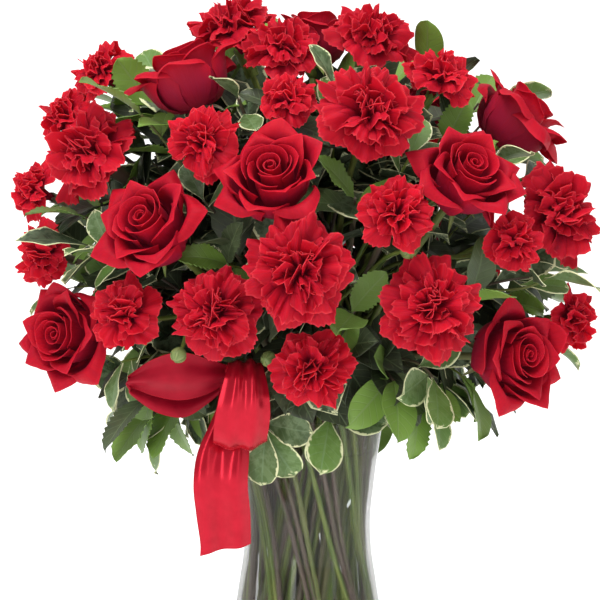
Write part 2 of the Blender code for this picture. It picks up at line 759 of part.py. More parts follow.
def sheaf_slots(stand, members):
    """The place in its sheaf that suits each stem, by the direction in which its head lies."""
    middle = stand_line(stand, BIND)
    turns = []
    for member in members:
        away = member[2] - middle
        turns.append((math.degrees(math.atan2(away.x, -away.y)) % 360, member))
    turns.sort(key=lambda turn: turn[0])
    step = 360 / len(turns)
    starts = [turn - index * step for index, (turn, member) in enumerate(turns)]
    shift = math.degrees(math.atan2(sum(math.sin(math.radians(start)) for start in starts),
                                    sum(math.cos(math.radians(start)) for start in starts)))
    return [(shift + index * step, member) for index, (turn, member) in enumerate(turns)]


def build_sheaf(stand, members, finish, space, wet):
    """A sheaf: straight stems that touch at the waist and part above the rim."""
    node = "stems_" + stand
    pieces = []
    count = len(members)
    for slot, (name, home, base, azimuth, elevation, size, kind) in sheaf_slots(stand, members):
        radius = ROSE_STEM if kind == "rose" else CARNATION_STEM
        foot = lean_line(stand_line(stand, FOOT), slot, sheaf_ring(count), SHEAF_LEAN, FOOT)
        bind = lean_line(stand_line(stand, BIND), slot, sheaf_ring(count), SHEAF_LEAN, BIND)
        leave = (bind - foot).normalized()
        head = (base, azimuth, elevation, kind)
        points, radii = flower_stem(name, node, bind, leave, head, radius, space, [foot])
        pieces.append(solid(node, *tube(points, radii, STEM_SIDES, True), finish))
    middle = lambda height: stand_line(stand, height)
    wet.append((middle, lambda height: sheaf_reach(count, height), SHEAF_HOLE_SIDES))
    return join(pieces)


def build_spray(stand, members, buds, finish, space, wet):
    """A branched stem: the first head ends the main stem, and the others stand on side stems."""
    node = stand
    foot = stand_line(stand, FOOT)
    bind = stand_line(stand, BIND)
    leave = (bind - foot).normalized()
    pieces = []
    wet.append((lambda height: stand_line(stand, height), lambda height: BRANCH, STEM_SIDES))
    targets = [(name, (*place_and_face, kind)) for name, home, *place_and_face, size, kind in members]
    for index, (across, up, nearer, azimuth, elevation) in enumerate(buds):
        base = place(across, up, nearer) - facing(azimuth, elevation) * BUD_RADIUS
        targets.append((f"{stand} bud {index}", (base, azimuth, elevation, "bud")))
    name, head = targets[0]
    points, radii = flower_stem(name, node, bind, leave, head, BRANCH, space, [foot])
    pieces.append(solid(node, *tube(points, radii, STEM_SIDES, True), finish))
    trunk = points[1:-2]
    for index, (name, head) in enumerate(targets[1:]):
        base, azimuth, elevation, kind = head
        fork = min(1 + index % FORKS, len(trunk) - 2)
        start = trunk[fork]
        along = (trunk[fork + 1] - trunk[fork]).normalized()
        side = TWIG if kind == "bud" else SIDE_STEM
        points, radii = flower_stem(name, node, start, along, head, side, space, [])
        pieces.append(solid(node, *tube(points, radii, SIDE_STEM_SIDES), finish))
        if kind == "bud":
            pieces.append(bud_solid(node, base, facing(azimuth, elevation), finish))
    return join(pieces)


def bud_solid(name, base, up, finish):
    side = across_of(up)
    other = up.cross(side)
    rings = []
    for share, height in BUD_RINGS:
        ring = []
        for corner in range(BUD_SIDES):
            angle = 2 * math.pi * corner / BUD_SIDES
            out = side * math.cos(angle) + other * math.sin(angle)
            ring.append(base + out * BUD_RADIUS * share + up * BUD_RADIUS * height)
        rings.append(ring)
    return solid(name, *rings_solid(rings, base - up * BUD_SUNK, base + up * BUD_RADIUS * BUD_POINT), finish)


def leaf_lines(base, along, face, length, form):
    """A blade's left edge, rib and right edge at each station, and its tip."""
    side = along.cross(face).normalized()
    half = length * LEAF_ASPECT / 2
    rows = []
    for station, share in LEAF_FORMS[form]:
        rib = base + along * length * station - face * length * LEAF_DROOP * station ** 2
        lift = face * half * share * LEAF_CUP
        rows.append((rib - side * half * share + lift, rib, rib + side * half * share + lift))
    tip = base + along * length * LEAF_TIP - face * length * LEAF_DROOP
    return rows, tip


def leaf_solid(name, base, along, face, length, form, finish):
    """A blade folded along its rib, thick there and thin at its edge."""
    rows, tip = leaf_lines(base, along, face, length, form)
    half = face * LEAF_THICKNESS / 2
    points = [tip, base + half, base - half]
    for left, rib, right in rows:
        points.extend((left, right, rib + half, rib - half))
    faces = []

    def both(upper, lower):
        faces.append(upper)
        faces.append(tuple(reversed(lower)))

    left, right, over, under = 3, 4, 5, 6
    both((1, over, left), (2, under, left))
    both((1, right, over), (2, right, under))
    faces.append((1, left, 2))
    faces.append((1, 2, right))
    for row in range(len(rows) - 1):
        now = row * 4
        after = now + 4
        both((left + now, over + now, over + after), (left + now, under + now, under + after))
        both((left + now, over + after, left + after), (left + now, under + after, left + after))
        both((over + now, right + now, right + after), (under + now, right + now, right + after))
        both((over + now, right + after, over + after), (under + now, right + after, under + after))
    end = (len(rows) - 1) * 4
    both((left + end, over + end, 0), (left + end, under + end, 0))
    both((over + end, right + end, 0), (under + end, right + end, 0))
    return solid(name, points, faces, finish)


def leaf_samples(base, along, face, length, form):
    """Points all over a blade, apart from its stretch next to the joint."""
    rows, tip = leaf_lines(base, along, face, length, form)
    points = [tip]
    before = (base, base, base)
    for row in rows:
        for now, past in zip(row, before):
            points.append(now)
            points.append(now.lerp(past, 0.5))
        before = row
    points.append(tip.lerp(rows[-1][1], 0.5))
    return [point for point in points if (point - base).length > length * LEAF_FREE]


def clear_leaf(node, draw, joint, heading, length, form, splay, turn, space):
    """A leaf near the wanted place that keeps clear of other nodes: its base, direction, face and length."""
    side = across_of(heading)
    other = heading.cross(side)
    for attempt in range(LEAF_TRIES):
        angle = math.radians(turn + draw.uniform(-1, 1) * attempt * LEAF_STRAY)
        strayed = splay + draw.uniform(-1, 1) * attempt * SPLAY_STRAY
        open_by = math.radians(min(MOST_SPLAY, max(LEAST_SPLAY, strayed)))
        size = length * (1 - LEAF_SHRINK * attempt / LEAF_TRIES)
        out = side * math.cos(angle) + other * math.sin(angle)
        along = (heading * math.cos(open_by) + out * math.sin(open_by)).normalized()
        outward = Vector((joint.x, joint.y, joint.z - VASE_HEIGHT)).normalized()
        face = outward - along * outward.dot(along)
        if face.length < LEAST_SQUARE:
            face = across_of(along)
        face = face.normalized()
        base = joint + along * LEAF_SUNK
        samples = leaf_samples(base, along, face, size, form)
        points = np.array([tuple(point) for point in samples])
        room = space.room(points, {node}, LEAF_SKIN)
        low = [(x, y, z) for x, y, z in points if z < VASE_HEIGHT + LEAF_RIM_ROOM]
        inside = any(math.hypot(x, y) < vase_radius(z) + LEAF_VASE_ROOM for x, y, z in low)
        if room > LEAF_GAP and not inside:
            return base, along, face, size, samples
    return None


def build_foliage(stand, rows, finish, space, wet):
    """A branch with a leafy twig to each of its places."""
    foot = stand_line(stand, FOOT)
    bind = stand_line(stand, BIND)
    leave = (bind - foot).normalized()
    wet.append((lambda height: stand_line(stand, height), lambda height: BRANCH, STEM_SIDES))
    pieces = []
    trunk = None
    leaves = []
    draw = random.Random(stand)
    order = sorted(rows, key=lambda row: -place(*row[:3]).z)
    for index, (across, up, nearer, azimuth, elevation, count, size, form) in enumerate(order):
        end = place(across, up, nearer)
        heading = facing(azimuth, elevation)
        name = f"{stand} twig {index}"
        if trunk is None:
            start, begin, radius, extra = bind, leave, BRANCH, [foot]
        else:
            start = trunk[1 if elevation > 0 else 0]
            begin = (trunk[2] - trunk[1]).normalized()
            toward = Vector((end.x - start.x, end.y - start.y, 0)).normalized()
            begin = (begin + toward * TWIG_OUTWARD).normalized()
            radius = TWIG
            extra = []
        first, last = clear_curve(name, start, begin, end, heading, radius, space, {stand}, TWIG_STEPS)
        line = curve(start, first, end, last, TWIG_STEPS)
        points = [*extra, *line]
        radii = [radius] * len(points)
        if trunk is None:
            radii = [BRANCH] * (len(points) - 3) + [BRANCH * share for share in BRANCH_TAPER] + [TWIG]
            trunk = line
        sides = STEM_SIDES if extra else TWIG_SIDES
        pieces.append(solid(stand, *tube(points, radii, sides, bool(extra)), finish))
        space.add(stand, *stem_spheres(points, radii))
        for leaf in range(count):
            back = leaf / count * LEAVES_SPREAD
            joint = end - heading * TWIG if leaf == 0 else line[-1].lerp(line[-2], back)
            splay = TIP_SPLAY if leaf == 0 else FIRST_SPLAY + SPLAY_STEP * (leaf - 1)
            turn = 0 if leaf == 0 else GOLDEN_TURN * leaf + TWIG_TURN * index
            length = size * MM * (1 - LEAF_SHORTER * leaf)
            found = clear_leaf(stand, draw, joint, heading, length, form, splay, turn, space)
            if found is None:
                continue
            base, along, face, length, samples = found
            leaves.append((base, along, face, length, form))
            space.add(stand + " leaves", samples, [LEAF_ROOM] * len(samples))
    for base, along, face, length, form in leaves:
        pieces.append(leaf_solid(stand, base, along, face, length, form, finish))
    return join(pieces)


def strip(name, rows, normals, finish):
    """A ribbon's stretch: each row is its middle point, the direction across it and its width."""
    rings = []
    for (middle, across, width), normal in zip(rows, normals):
        half = across * width / 2
        thick = normal * RIBBON_THICKNESS / 2
        left = middle - half
        right = middle + half
        rings.append([left - thick, right - thick, right + thick, left + thick])
    return solid(name, *rings_solid(rings), finish)


def strip_normals(rows):
    made = []
    for index, (middle, across, width) in enumerate(rows):
        along = rows[min(index + 1, len(rows) - 1)][0] - rows[max(index - 1, 0)][0]
        made.append(across.cross(along).normalized() * -1)
    return made


def ribbon_rows(table):
    """A stretch's rows: a hanging one lies level across, and one with a roll stands on its edge."""
    rows = []
    for across, up, nearer, share, *roll in table:
        if roll:
            lean = math.radians(roll[0])
            side = Vector((0, math.sin(lean), math.cos(lean)))
        else:
            side = Vector((1, RIBBON_TURN, 0)).normalized()
        rows.append((place(across, up, nearer), side, RIBBON_WIDTH * share))
    return rows


def build_bow(ribbon, wire, space, wet):
    """The ribbon, in stretches joined at its knot, and the wired pick behind the knot."""
    node = "bow_ribbon"
    pieces = []
    for table in (SIDE_LOOP, FRONT_LOOP, TAIL):
        rows = ribbon_rows(table)
        if table is TAIL:
            middle, side, width = rows[-1]
            slanted = (side + Vector((0, 0, TAIL_SLANT))).normalized()
            rows[-1] = (middle, slanted, width * TAIL_END_WIDER)
        pieces.append(strip(node, rows, strip_normals(rows), ribbon))
        for middle, across, width in rows:
            for share in RIBBON_SHARES:
                space.add(node, [middle + across * width * share], [RIBBON_ROOM])
    knot = place(*KNOT)
    back = place(*(middle + shift for middle, shift in zip(KNOT, KNOT_BACK)))
    front = place(*(middle + shift for middle, shift in zip(KNOT, KNOT_FRONT)))
    knot_radii = [KNOT_END, KNOT_RADIUS, KNOT_END]
    pieces.append(solid(node, *tube([back, knot, front], knot_radii, KNOT_SIDES), ribbon))
    join(pieces)
    foot = lean_line(Vector((0, 0, 0)), *PICK_STAND, FOOT)
    bind = lean_line(Vector((0, 0, 0)), *PICK_STAND, BIND)
    leave = (bind - foot).normalized()
    arrive = (front - back).normalized()
    end = back - arrive * SEAT
    first, last = clear_curve(PICK, bind, leave, end, arrive, PICK_RADIUS, space, {PICK, node}, TWIG_STEPS)
    points = [foot, *curve(bind, first, end, last, TWIG_STEPS)]
    radii = [PICK_RADIUS] * len(points)
    solid(PICK, *tube(points, radii, STEM_SIDES, True), wire)
    space.add(PICK, *stem_spheres(points, radii))
    middle = lambda height: lean_line(Vector((0, 0, 0)), *PICK_STAND, height)
    wet.append((middle, lambda height: PICK_RADIUS, STEM_SIDES))


def smooth(made):
    made.data.shade_smooth()
    made.data.set_sharp_from_angle(angle=math.radians(SMOOTH_ANGLE))


def build():
    clear_scene()
    green = material("stem_green", (0.10, 0.20, 0.04), 0.5)
    leafy = material("leaf_green", (0.07, 0.17, 0.05), 0.45)
    finishes = {
        "rose": material("rose_red", (0.55, 0.004, 0.012), 0.5),
        "carnation": material("carnation_red", (0.62, 0.008, 0.02), 0.6),
        "small": material("small_carnation_red", (0.60, 0.008, 0.02), 0.6),
    }
    space = Space()
    wet = []
    all_heads = heads()
    build_heads(all_heads, finishes, space)
    satin = material("ribbon_satin", (0.65, 0.005, 0.02), 0.25)
    build_bow(satin, material("pick_green", (0.05, 0.14, 0.05), 0.5), space, wet)
    for stand in STANDS:
        members = [head for head in all_heads if head[1] == stand]
        buds = [row[1:] for row in BUDS if row[0] == stand]
        rows = [row[1:] for row in TWIGS if row[0] == stand]
        if rows:
            build_foliage(stand, rows, leafy, space, wet)
        elif stand.startswith("spray"):
            build_spray(stand, members, buds, green, space, wet)
        else:
            build_sheaf(stand, members, green, space, wet)
    glass = material("clear_glass", (0.86, 0.92, 0.92), 0.04, 0.35, 1.0)
    build_vase(glass)
    build_water(material("water", (0.85, 0.93, 0.90), 0.02, 0.3, 1.0), wet)
    for made in bpy.context.scene.objects:
        smooth(made)


build()
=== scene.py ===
"""The looks of roses and carnations in a clear glass vase: petals, leaves, stems, satin bow and glass."""

import json
import math
import random

import bpy
import numpy as np
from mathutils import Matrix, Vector

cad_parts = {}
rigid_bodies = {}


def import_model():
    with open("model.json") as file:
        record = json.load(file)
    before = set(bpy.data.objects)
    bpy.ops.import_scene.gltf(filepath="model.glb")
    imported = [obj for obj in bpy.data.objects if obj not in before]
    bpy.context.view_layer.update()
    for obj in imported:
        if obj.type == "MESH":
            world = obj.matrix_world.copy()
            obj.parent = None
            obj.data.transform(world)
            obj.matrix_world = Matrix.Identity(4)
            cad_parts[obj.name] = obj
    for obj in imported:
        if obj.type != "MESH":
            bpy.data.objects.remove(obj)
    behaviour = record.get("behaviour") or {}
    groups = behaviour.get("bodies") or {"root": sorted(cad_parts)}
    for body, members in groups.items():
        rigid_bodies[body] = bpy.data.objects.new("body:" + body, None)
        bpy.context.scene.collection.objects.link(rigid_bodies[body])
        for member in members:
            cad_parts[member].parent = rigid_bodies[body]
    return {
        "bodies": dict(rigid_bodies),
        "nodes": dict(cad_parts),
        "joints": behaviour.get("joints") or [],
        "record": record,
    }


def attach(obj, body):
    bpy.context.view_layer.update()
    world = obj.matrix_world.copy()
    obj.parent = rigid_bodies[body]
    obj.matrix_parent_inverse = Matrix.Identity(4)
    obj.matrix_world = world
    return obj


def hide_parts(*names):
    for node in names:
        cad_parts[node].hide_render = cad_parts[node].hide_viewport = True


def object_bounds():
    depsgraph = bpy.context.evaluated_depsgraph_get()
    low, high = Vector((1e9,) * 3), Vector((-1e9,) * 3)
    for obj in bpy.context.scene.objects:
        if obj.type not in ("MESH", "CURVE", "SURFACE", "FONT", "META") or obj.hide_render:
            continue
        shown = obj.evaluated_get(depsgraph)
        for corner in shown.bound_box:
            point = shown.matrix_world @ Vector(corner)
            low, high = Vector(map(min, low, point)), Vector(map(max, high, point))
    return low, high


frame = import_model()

CAD_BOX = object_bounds()

# The vase and its water
VASE_HEIGHT = 0.216
VASE_PROFILE = (  # outer radius at each height
    (0.0505, 0.000),
    (0.0550, 0.010),
    (0.0557, 0.048),
    (0.0502, 0.088),
    (0.0464, 0.114),
    (0.0455, 0.134),
    (0.0484, 0.166),
    (0.0555, VASE_HEIGHT),
)
GLASS = 0.003
VASE_FLOOR = 0.009
WATER_LEVEL = 0.190
WATER_OVERLAP = 0.0002
VASE_SIDES = 80
SEAT = 0.0003  # the gap between touching pieces

# How the stems stand in the vase: each is a straight line that leans round the waist
WAIST = 0.140
BIND = 0.228  # the height at which the stems part
FOOT = VASE_FLOOR + SEAT
OUTER = (0.0295, 9.0)  # ring radius, and lean in degrees
INNER = (0.0150, 6.0)
SHEAF_PITCH = 0.0037  # the distance from stem to stem in a sheaf at the waist
SHEAF_LEAN = 3.0
STEM_STEPS = 4

# The front view: a place is given as it is seen, so far across and up, and so far nearer than the vase's axis
VIEW_TILT = 8.0
VIEW_DISTANCE = 2.2
VIEW_WIDTH = 0.432  # what the photo takes in at the vase's axis
AIM_ACROSS = -0.0056
AIM_UP = 0.2965

MM = 0.001

# Each bloom, in the order of their numbers: sheaf or spray, across, up, nearer (mm), azimuth and elevation
# that it faces (degrees), diameter (mm). Azimuth 0 faces the front, and 90 faces right.
ROSES = (
    ("top", -87, 459, 52, -110, 66, 79), ("left", -113, 350, 118, -32, 34, 78),
    ("front", -25, 384, 139, -8, 42, 78), ("right", 114, 386, 108, 28, 42, 77),
    ("back_right", 151, 428, 0, 100, 45, 78), ("left", -173, 271, 54, -38, 10, 78),
    ("right", 148, 257, 78, 44, 8, 78), ("top", 4, 486, -42, 180, 78, 66),
    ("back_right", 18, 425, -118, 176, 42, 76), ("back_right", 112, 345, -122, 138, 22, 76),
    ("back_left", -120, 352, -112, -134, 22, 76), ("back_left", 0, 272, -132, 180, 4, 76),
)
CARNATIONS = (
    ("top", -53, 489, 4, -70, 66, 64), ("front", -17, 475, 54, -10, 62, 60),
    ("top", 44, 482, 22, 30, 62, 64), ("left", -153, 400, 58, -52, 34, 74),
    ("front", 44, 429, 116, 14, 40, 78), ("front", -6, 317, 163, -2, 20, 80),
    ("left", -65, 286, 136, -16, 14, 65), ("right", 88, 290, 134, 20, 14, 76),
    ("right", 176, 358, 38, 58, 24, 76), ("back_right", 82, 430, -84, 148, 44, 70),
    ("back_left", -74, 428, -96, -152, 44, 72), ("back_left", -4, 350, -152, 180, 20, 76),
)
SMALL_CARNATIONS = (
    ("spray_right", 95, 455, 50, 46, 54, 52), ("spray_top_left", -147, 460, -12, -62, 46, 48),
    ("spray_top_left", -172, 426, -22, -70, 34, 50), ("spray_top_left", -194, 374, -4, -66, 22, 48),
    ("spray_left", -188, 329, 26, -48, 14, 52), ("spray_middle", -75, 409, 110, -20, 30, 54),
    ("spray_middle", -15, 440, 98, -4, 50, 45), ("spray_front", 64, 358, 144, 10, 26, 56),
    ("spray_left", -130, 286, 104, -30, 14, 56), ("spray_front", 3, 247, 134, 2, 0, 58),
    ("spray_right", 147, 338, 96, 36, 20, 49), ("spray_right", 187, 283, 18, 62, 6, 50),
    ("spray_back", 78, 282, -136, 152, 4, 56), ("spray_back", -78, 290, -138, -152, 4, 56),
    ("spray_back", -142, 285, -86, -122, 4, 54),
)
# Each spray's unopened buds: across, up, nearer (mm), azimuth and elevation that it faces
BUDS = {
    "spray_left": ((-93, 257, 128, -20, -30),),
    "spray_front": ((-28, 254, 124, -20, 10), (72, 332, 140, 12, 8)),
}
BUD_RADIUS = 0.0052

# Where each sheaf of stems, flower spray and leafy branch stands: azimuth in degrees, ring radius, lean
STANDS = {
    "left": (-62, *OUTER), "front": (0, *OUTER), "right": (62, *OUTER), "back_right": (132, *OUTER),
    "back_left": (-132, *OUTER), "top": (0, 0.0, 0.0),
    "spray_top_left": (-97, *OUTER), "spray_left": (-31, *OUTER), "spray_middle": (-8, *INNER),
    "spray_front": (31, *OUTER), "spray_right": (97, *OUTER), "spray_back": (180, *OUTER),
    "foliage_front_left": (-70, *INNER), "foliage_front_right": (52, *INNER), "foliage_right": (112, *INNER),
    "foliage_back": (172, *INNER), "foliage_back_left": (-128, *INNER),
}
ROSE_STEM = 0.0027
CARNATION_STEM = 0.0023
BRANCH = 0.0022
BRANCH_TAPER = (0.85, 0.70)
TWIG = 0.0013
SIDE_STEM = 0.0017  # a spray's stem to one of its flowers
FORKS = 3  # the places along a spray's main stem at which its side stems start

# Each branch's leafy twigs: the end's place across, up and nearer (mm), azimuth and elevation that it faces,
# leaves, leaf length (mm), kind
TWIGS = {
    "foliage_front_left": (
        (-120, 430, 64, -46, 40, 3, 52, "plain"), (-50, 442, 84, -16, 40, 3, 34, "edged"),
        (-160, 356, 60, -50, 24, 3, 44, "plain"), (-146, 330, 80, -40, 14, 3, 36, "edged"),
        (-75, 368, 97, -22, 28, 3, 44, "edged"), (-134, 252, 68, -56, -8, 4, 44, "edged"),
        (-116, 226, 78, -46, -32, 3, 50, "plain"), (-58, 322, 108, -14, 12, 3, 42, "plain"),
        (-30, 204, 88, -14, -40, 4, 50, "edged"),
    ),
    "foliage_front_right": (
        (19, 450, 80, 4, 50, 3, 40, "edged"), (34, 370, 110, 8, 30, 3, 52, "plain"),
        (32, 286, 114, 8, 4, 3, 44, "plain"), (16, 212, 92, 6, -40, 4, 46, "edged"),
        (62, 238, 92, 24, -38, 4, 48, "plain"), (90, 240, 88, 28, -34, 4, 46, "edged"),
        (122, 296, 96, 34, 6, 3, 50, "plain"), (74, 400, 88, 24, 40, 3, 44, "edged"),
    ),
    "foliage_right": (
        (84, 462, 8, 40, 70, 3, 46, "plain"), (134, 394, 60, 62, 22, 3, 42, "edged"),
        (164, 388, 14, 84, 36, 3, 50, "edged"), (172, 312, 48, 66, 6, 3, 48, "edged"),
        (150, 300, -60, 112, 4, 3, 50, "plain"), (118, 258, -40, 112, -12, 4, 46, "edged"),
        (120, 400, -60, 124, 38, 3, 44, "edged"),
    ),
    "foliage_back": (
        (40, 380, -126, 164, 30, 3, 46, "edged"), (50, 224, -104, 152, -32, 4, 50, "plain"),
        (-46, 224, -104, -152, -32, 4, 50, "edged"), (50, 310, -126, 160, 8, 3, 48, "plain"),
        (-50, 320, -126, -160, 10, 3, 48, "edged"), (-34, 468, -66, -170, 60, 3, 42, "plain"),
    ),
    "foliage_back_left": (
        (-110, 424, -50, -122, 44, 3, 46, "edged"), (-164, 330, -50, -108, 16, 3, 50, "plain"),
        (-120, 232, -60, -118, -24, 4, 50, "edged"), (-60, 390, -120, -156, 34, 3, 44, "plain"),
    ),
}
LEAF_THICKNESS = 0.0005
LEAF_ASPECT = 0.58
LEAF_FORMS = {  # for each station along the blade, how far along it lies and its share of the half width
    "plain": ((0.30, 0.86), (0.68, 0.90)),
    "edged": ((0.24, 0.50), (0.56, 1.00), (0.84, 0.82)),
}
LEAF_CUP = 0.22
LEAF_DROOP = 0.22
LEAF_FREE = 0.32  # the share of a blade next to its joint that need not keep clear of others
LEAF_ROOM = 0.0030
LEAF_SKIN = 0.0020
LEAF_SUNK = 0.0001
LEAF_TIP = 0.985
LEAF_SHORTER = 0.05  # how much shorter each leaf of a twig is than the one before
LEAVES_SPREAD = 0.85  # the share of a twig's last stretch along which its leaves stand
TIP_SPLAY = 12
FIRST_SPLAY = 50
SPLAY_STEP = 8
LEAST_SPLAY = 4
MOST_SPLAY = 85
GOLDEN_TURN = 137.5
TWIG_TURN = 40
TWIG_OUTWARD = 0.8  # how strongly a twig starts towards the place where it ends

ROSE_MIDDLE = 0.65  # how far above its base a head's middle lies, in radii
CARNATION_MIDDLE = 0.50

# The room that a head takes, in radii: spheres up its middle (height, radius), then a ring of spheres
# (ring radius, height, radius)
ROOM_RING = 16
ROSE_ROOM = (((0.30, 0.34), (0.86, 0.38)), (0.70, 0.72, 0.36))
CARNATION_ROOM = (((0.30, 0.28), (0.68, 0.38)), (0.72, 0.48, 0.36))

# The calyx under each kind of head: distance below the head and radius, from the stem up
CALYXES = {
    "rose": ((0.0080, 0.0036), (SEAT, 0.0064)),
    "carnation": ((0.0180, 0.0042), (SEAT, 0.0054)),
    "small_carnation": ((0.0120, 0.0028), (SEAT, 0.0036)),
    "bud": (),
}
# Each kind of head: its table, how far above its base its middle lies, and its room
HEADS = {
    "rose": (ROSES, ROSE_MIDDLE, ROSE_ROOM),
    "carnation": (CARNATIONS, CARNATION_MIDDLE, CARNATION_ROOM),
    "small_carnation": (SMALL_CARNATIONS, CARNATION_MIDDLE, CARNATION_ROOM),
}

# The bow: a ribbon on a wired pick that stands among the stems
PICK = "bow_pick"
PICK_STAND = (-20, 0.0215, 7.5)
PICK_RADIUS = 0.0011
KNOT = (-53, 243, 98)
KNOT_BACK = (0, 1, -9)  # the knot's two ends, as seen from its middle: across, up, nearer (mm)
KNOT_FRONT = (0, 0, 8)
KNOT_PULL = 0.6
KNOT_RADIUS = 0.0062
KNOT_PUFF = 0.0026
RIBBON_WIDTH = 0.038
SATIN_THICKNESS = 0.00035
RIBBON_COLUMNS = 25
# Each stretch's middle line: across, up, nearer (mm), width as a share of the ribbon's, and roll in degrees
SIDE_LOOP = (
    (-56, 243, 103, 0.3, 0), (-72, 241, 110, 0.66, -4), (-92, 241, 111, 0.92, -8),
    (-112, 240, 106, 0.7, -8), (-128, 238, 98, 0.26, -6), (-131, 236, 95, 0.22, 0), (-126, 233, 93, 0.3, 6),
    (-108, 232, 92, 0.85, 10), (-88, 231, 90, 0.95, 10), (-70, 236, 92, 0.65, 6), (-57, 241, 95, 0.3, 0),
)
FRONT_LOOP = (
    (-51, 246, 103, 0.46), (-45, 250, 111, 0.6), (-42, 242, 119, 0.74), (-42, 226, 123, 0.88),
    (-42, 209, 121, 0.94), (-43, 195, 114, 0.9), (-44, 196, 105, 0.88), (-47, 212, 100, 0.82),
    (-51, 230, 98, 0.6), (-53, 240, 99, 0.4),
)
# The front loop's fine line: narrow at the top, widest low down, and turned under
FRONT_LOOP_LINE = (
    (-51, 246, 103, 0.44), (-45.5, 251, 111, 0.56), (-45, 244, 118, 0.7), (-45.5, 229, 122, 0.88),
    (-47, 212, 121, 1.0), (-48.5, 198, 115, 0.98), (-48.5, 195, 106, 0.96), (-50, 210, 101, 0.84),
    (-52, 230, 98, 0.6), (-53, 240, 99, 0.4),
)
TAIL = (
    (-53, 241, 94, 0.38), (-53, 226, 92, 0.5), (-56, 208, 93, 0.72), (-61, 186, 97, 0.96),
    (-63, 164, 98, 1.0), (-61, 144, 94, 1.0), (-59, 122, 90, 0.94),
)
TAIL_FINE = (*TAIL, (-59, 112, 89, 0.94))
TAIL_SLANT = 0.42  # how steeply the cut end of the solid rises to the right
TAIL_END_WIDER = 1.08
RIBBON_TURN = 0.12  # how far the hanging ribbon turns from facing the front

RIBBON_SHARES = (-0.45, -0.22, 0, 0.22, 0.45)  # where across its width the ribbon keeps others away
RIBBON_ROOM = 0.006
BOW_FRONT = (Vector((0, -0.016, 0.002)), 0.014)  # the room kept free in front of the ribbon

# How a stem finds a clear way, and a leaf a clear place
TRIES = 120
STRAY = 0.030  # how far a try may bend a stem out of its way
STRAY_TRIES = 30  # the tries after which a stem strays by the full distance
MOST_STRAY = 1.6
LEAST_RISE = -0.6
START_PULL = 0.40  # how far a stem's ends lead its curve, as shares of its span
END_PULL = 0.34
END_STRAY = 0.6
STEM_GAP = 0.0012
RIM_ROOM = 0.004
SPHERE_STEP = 0.003
LEAF_GAP = 0.0010
LEAF_TRIES = 30
LEAF_STRAY = 6
SPLAY_STRAY = 2
LEAF_SHRINK = 0.32
LEAF_RIM_ROOM = 0.003
LEAF_VASE_ROOM = 0.002
LEAST_SQUARE = 0.2  # a leaf's face that comes out shorter than this is replaced by a level one
NEAR_UPRIGHT = 0.1


def facing(azimuth, elevation):
    """The direction that something faces: azimuth 0 is the front and 90 the right."""
    turn = math.radians(azimuth)
    lift = math.radians(elevation)
    return Vector((math.sin(turn) * math.cos(lift), -math.cos(turn) * math.cos(lift), math.sin(lift)))


def place(across, up, nearer):
    """The point that the front view shows so far across and up, at a distance in front of the vase's axis."""
    tilt = math.radians(VIEW_TILT)
    look = Vector((0, math.cos(tilt), -math.sin(tilt)))
    rise = Vector((0, math.sin(tilt), math.cos(tilt)))
    aim = Vector((AIM_ACROSS, 0, AIM_UP))
    eye = aim - look * VIEW_DISTANCE
    seen = aim + Vector((across * MM - AIM_ACROSS, 0, 0)) + rise * (up * MM - AIM_UP)
    ray = seen - eye
    return eye + ray * ((-nearer * MM - eye.y) / ray.y)


def across_of(direction):
    """A direction square to the given one, level where it can be."""
    side = direction.cross(Vector((0, 0, 1)))
    if side.length < NEAR_UPRIGHT:
        side = direction.cross(Vector((0, 1, 0)))
    return side.normalized()


def past_vase(points, above):
    """How far outside the vase the points lie, for those below a height above its rim."""
    radii, heights = zip(*VASE_PROFILE)
    low = points[points[:, 2] < VASE_HEIGHT + above]
    return np.hypot(low[:, 0], low[:, 1]) - np.interp(low[:, 2], heights, radii)


class Space:
    """The room that the pieces take, as spheres, each with the name of its node."""

    def __init__(self):
        self.centres = np.zeros((0, 3))
        self.radii = np.zeros(0)
        self.owners = np.zeros(0, dtype=object)

    def add(self, owner, centres, radii):
        self.centres = np.vstack([self.centres, np.array([tuple(centre) for centre in centres])])
        self.radii = np.concatenate([self.radii, np.array(radii, dtype=float)])
        self.owners = np.concatenate([self.owners, np.array([owner] * len(radii), dtype=object)])

    def room(self, points, ignored, sizes=0.0):
        """The least gap between spheres at the points and a sphere that isn't one of the ignored nodes'."""
        kept = ~np.isin(self.owners, list(ignored))
        if not kept.any():
            return 1.0
        centres = self.centres[kept]
        gaps = np.linalg.norm(points[:, None, :] - centres[None, :, :], axis=2) - self.radii[kept][None, :]
        return float((gaps - np.reshape(sizes, (-1, 1))).min())


def head_frame(name, azimuth, elevation):
    """A head's own directions: two that are square to the one it faces, turned by a draw, and that one."""
    up = facing(azimuth, elevation)
    side = across_of(up)
    other = up.cross(side)
    turn = math.radians(random.Random(name + " turn").uniform(0, 360))
    return side * math.cos(turn) + other * math.sin(turn), other * math.cos(turn) - side * math.sin(turn), up


def head_spheres(base, frame, radius, column, ring):
    """The room that a head takes: spheres up its middle and in a ring."""
    side, other, up = frame
    centres = [base + up * radius * height for height, size in column]
    reach, height, size = ring
    for corner in range(ROOM_RING):
        angle = 2 * math.pi * corner / ROOM_RING
        out = (side * math.cos(angle) + other * math.sin(angle)) * radius * reach
        centres.append(base + up * radius * height + out)
    return centres, [radius * size for height, size in column] + [radius * size] * ROOM_RING


def heads():
    """Every head: name, stand, base point, azimuth, elevation, radius and kind."""
    made = []
    for kind, (rows, middle, room) in HEADS.items():
        for number, (stand, across, up, nearer, azimuth, elevation, size) in enumerate(rows, 1):
            radius = size * MM / 2
            base = place(across, up, nearer) - facing(azimuth, elevation) * radius * middle
            made.append((f"{kind}_{number}", stand, base, azimuth, elevation, radius, kind))
    return made


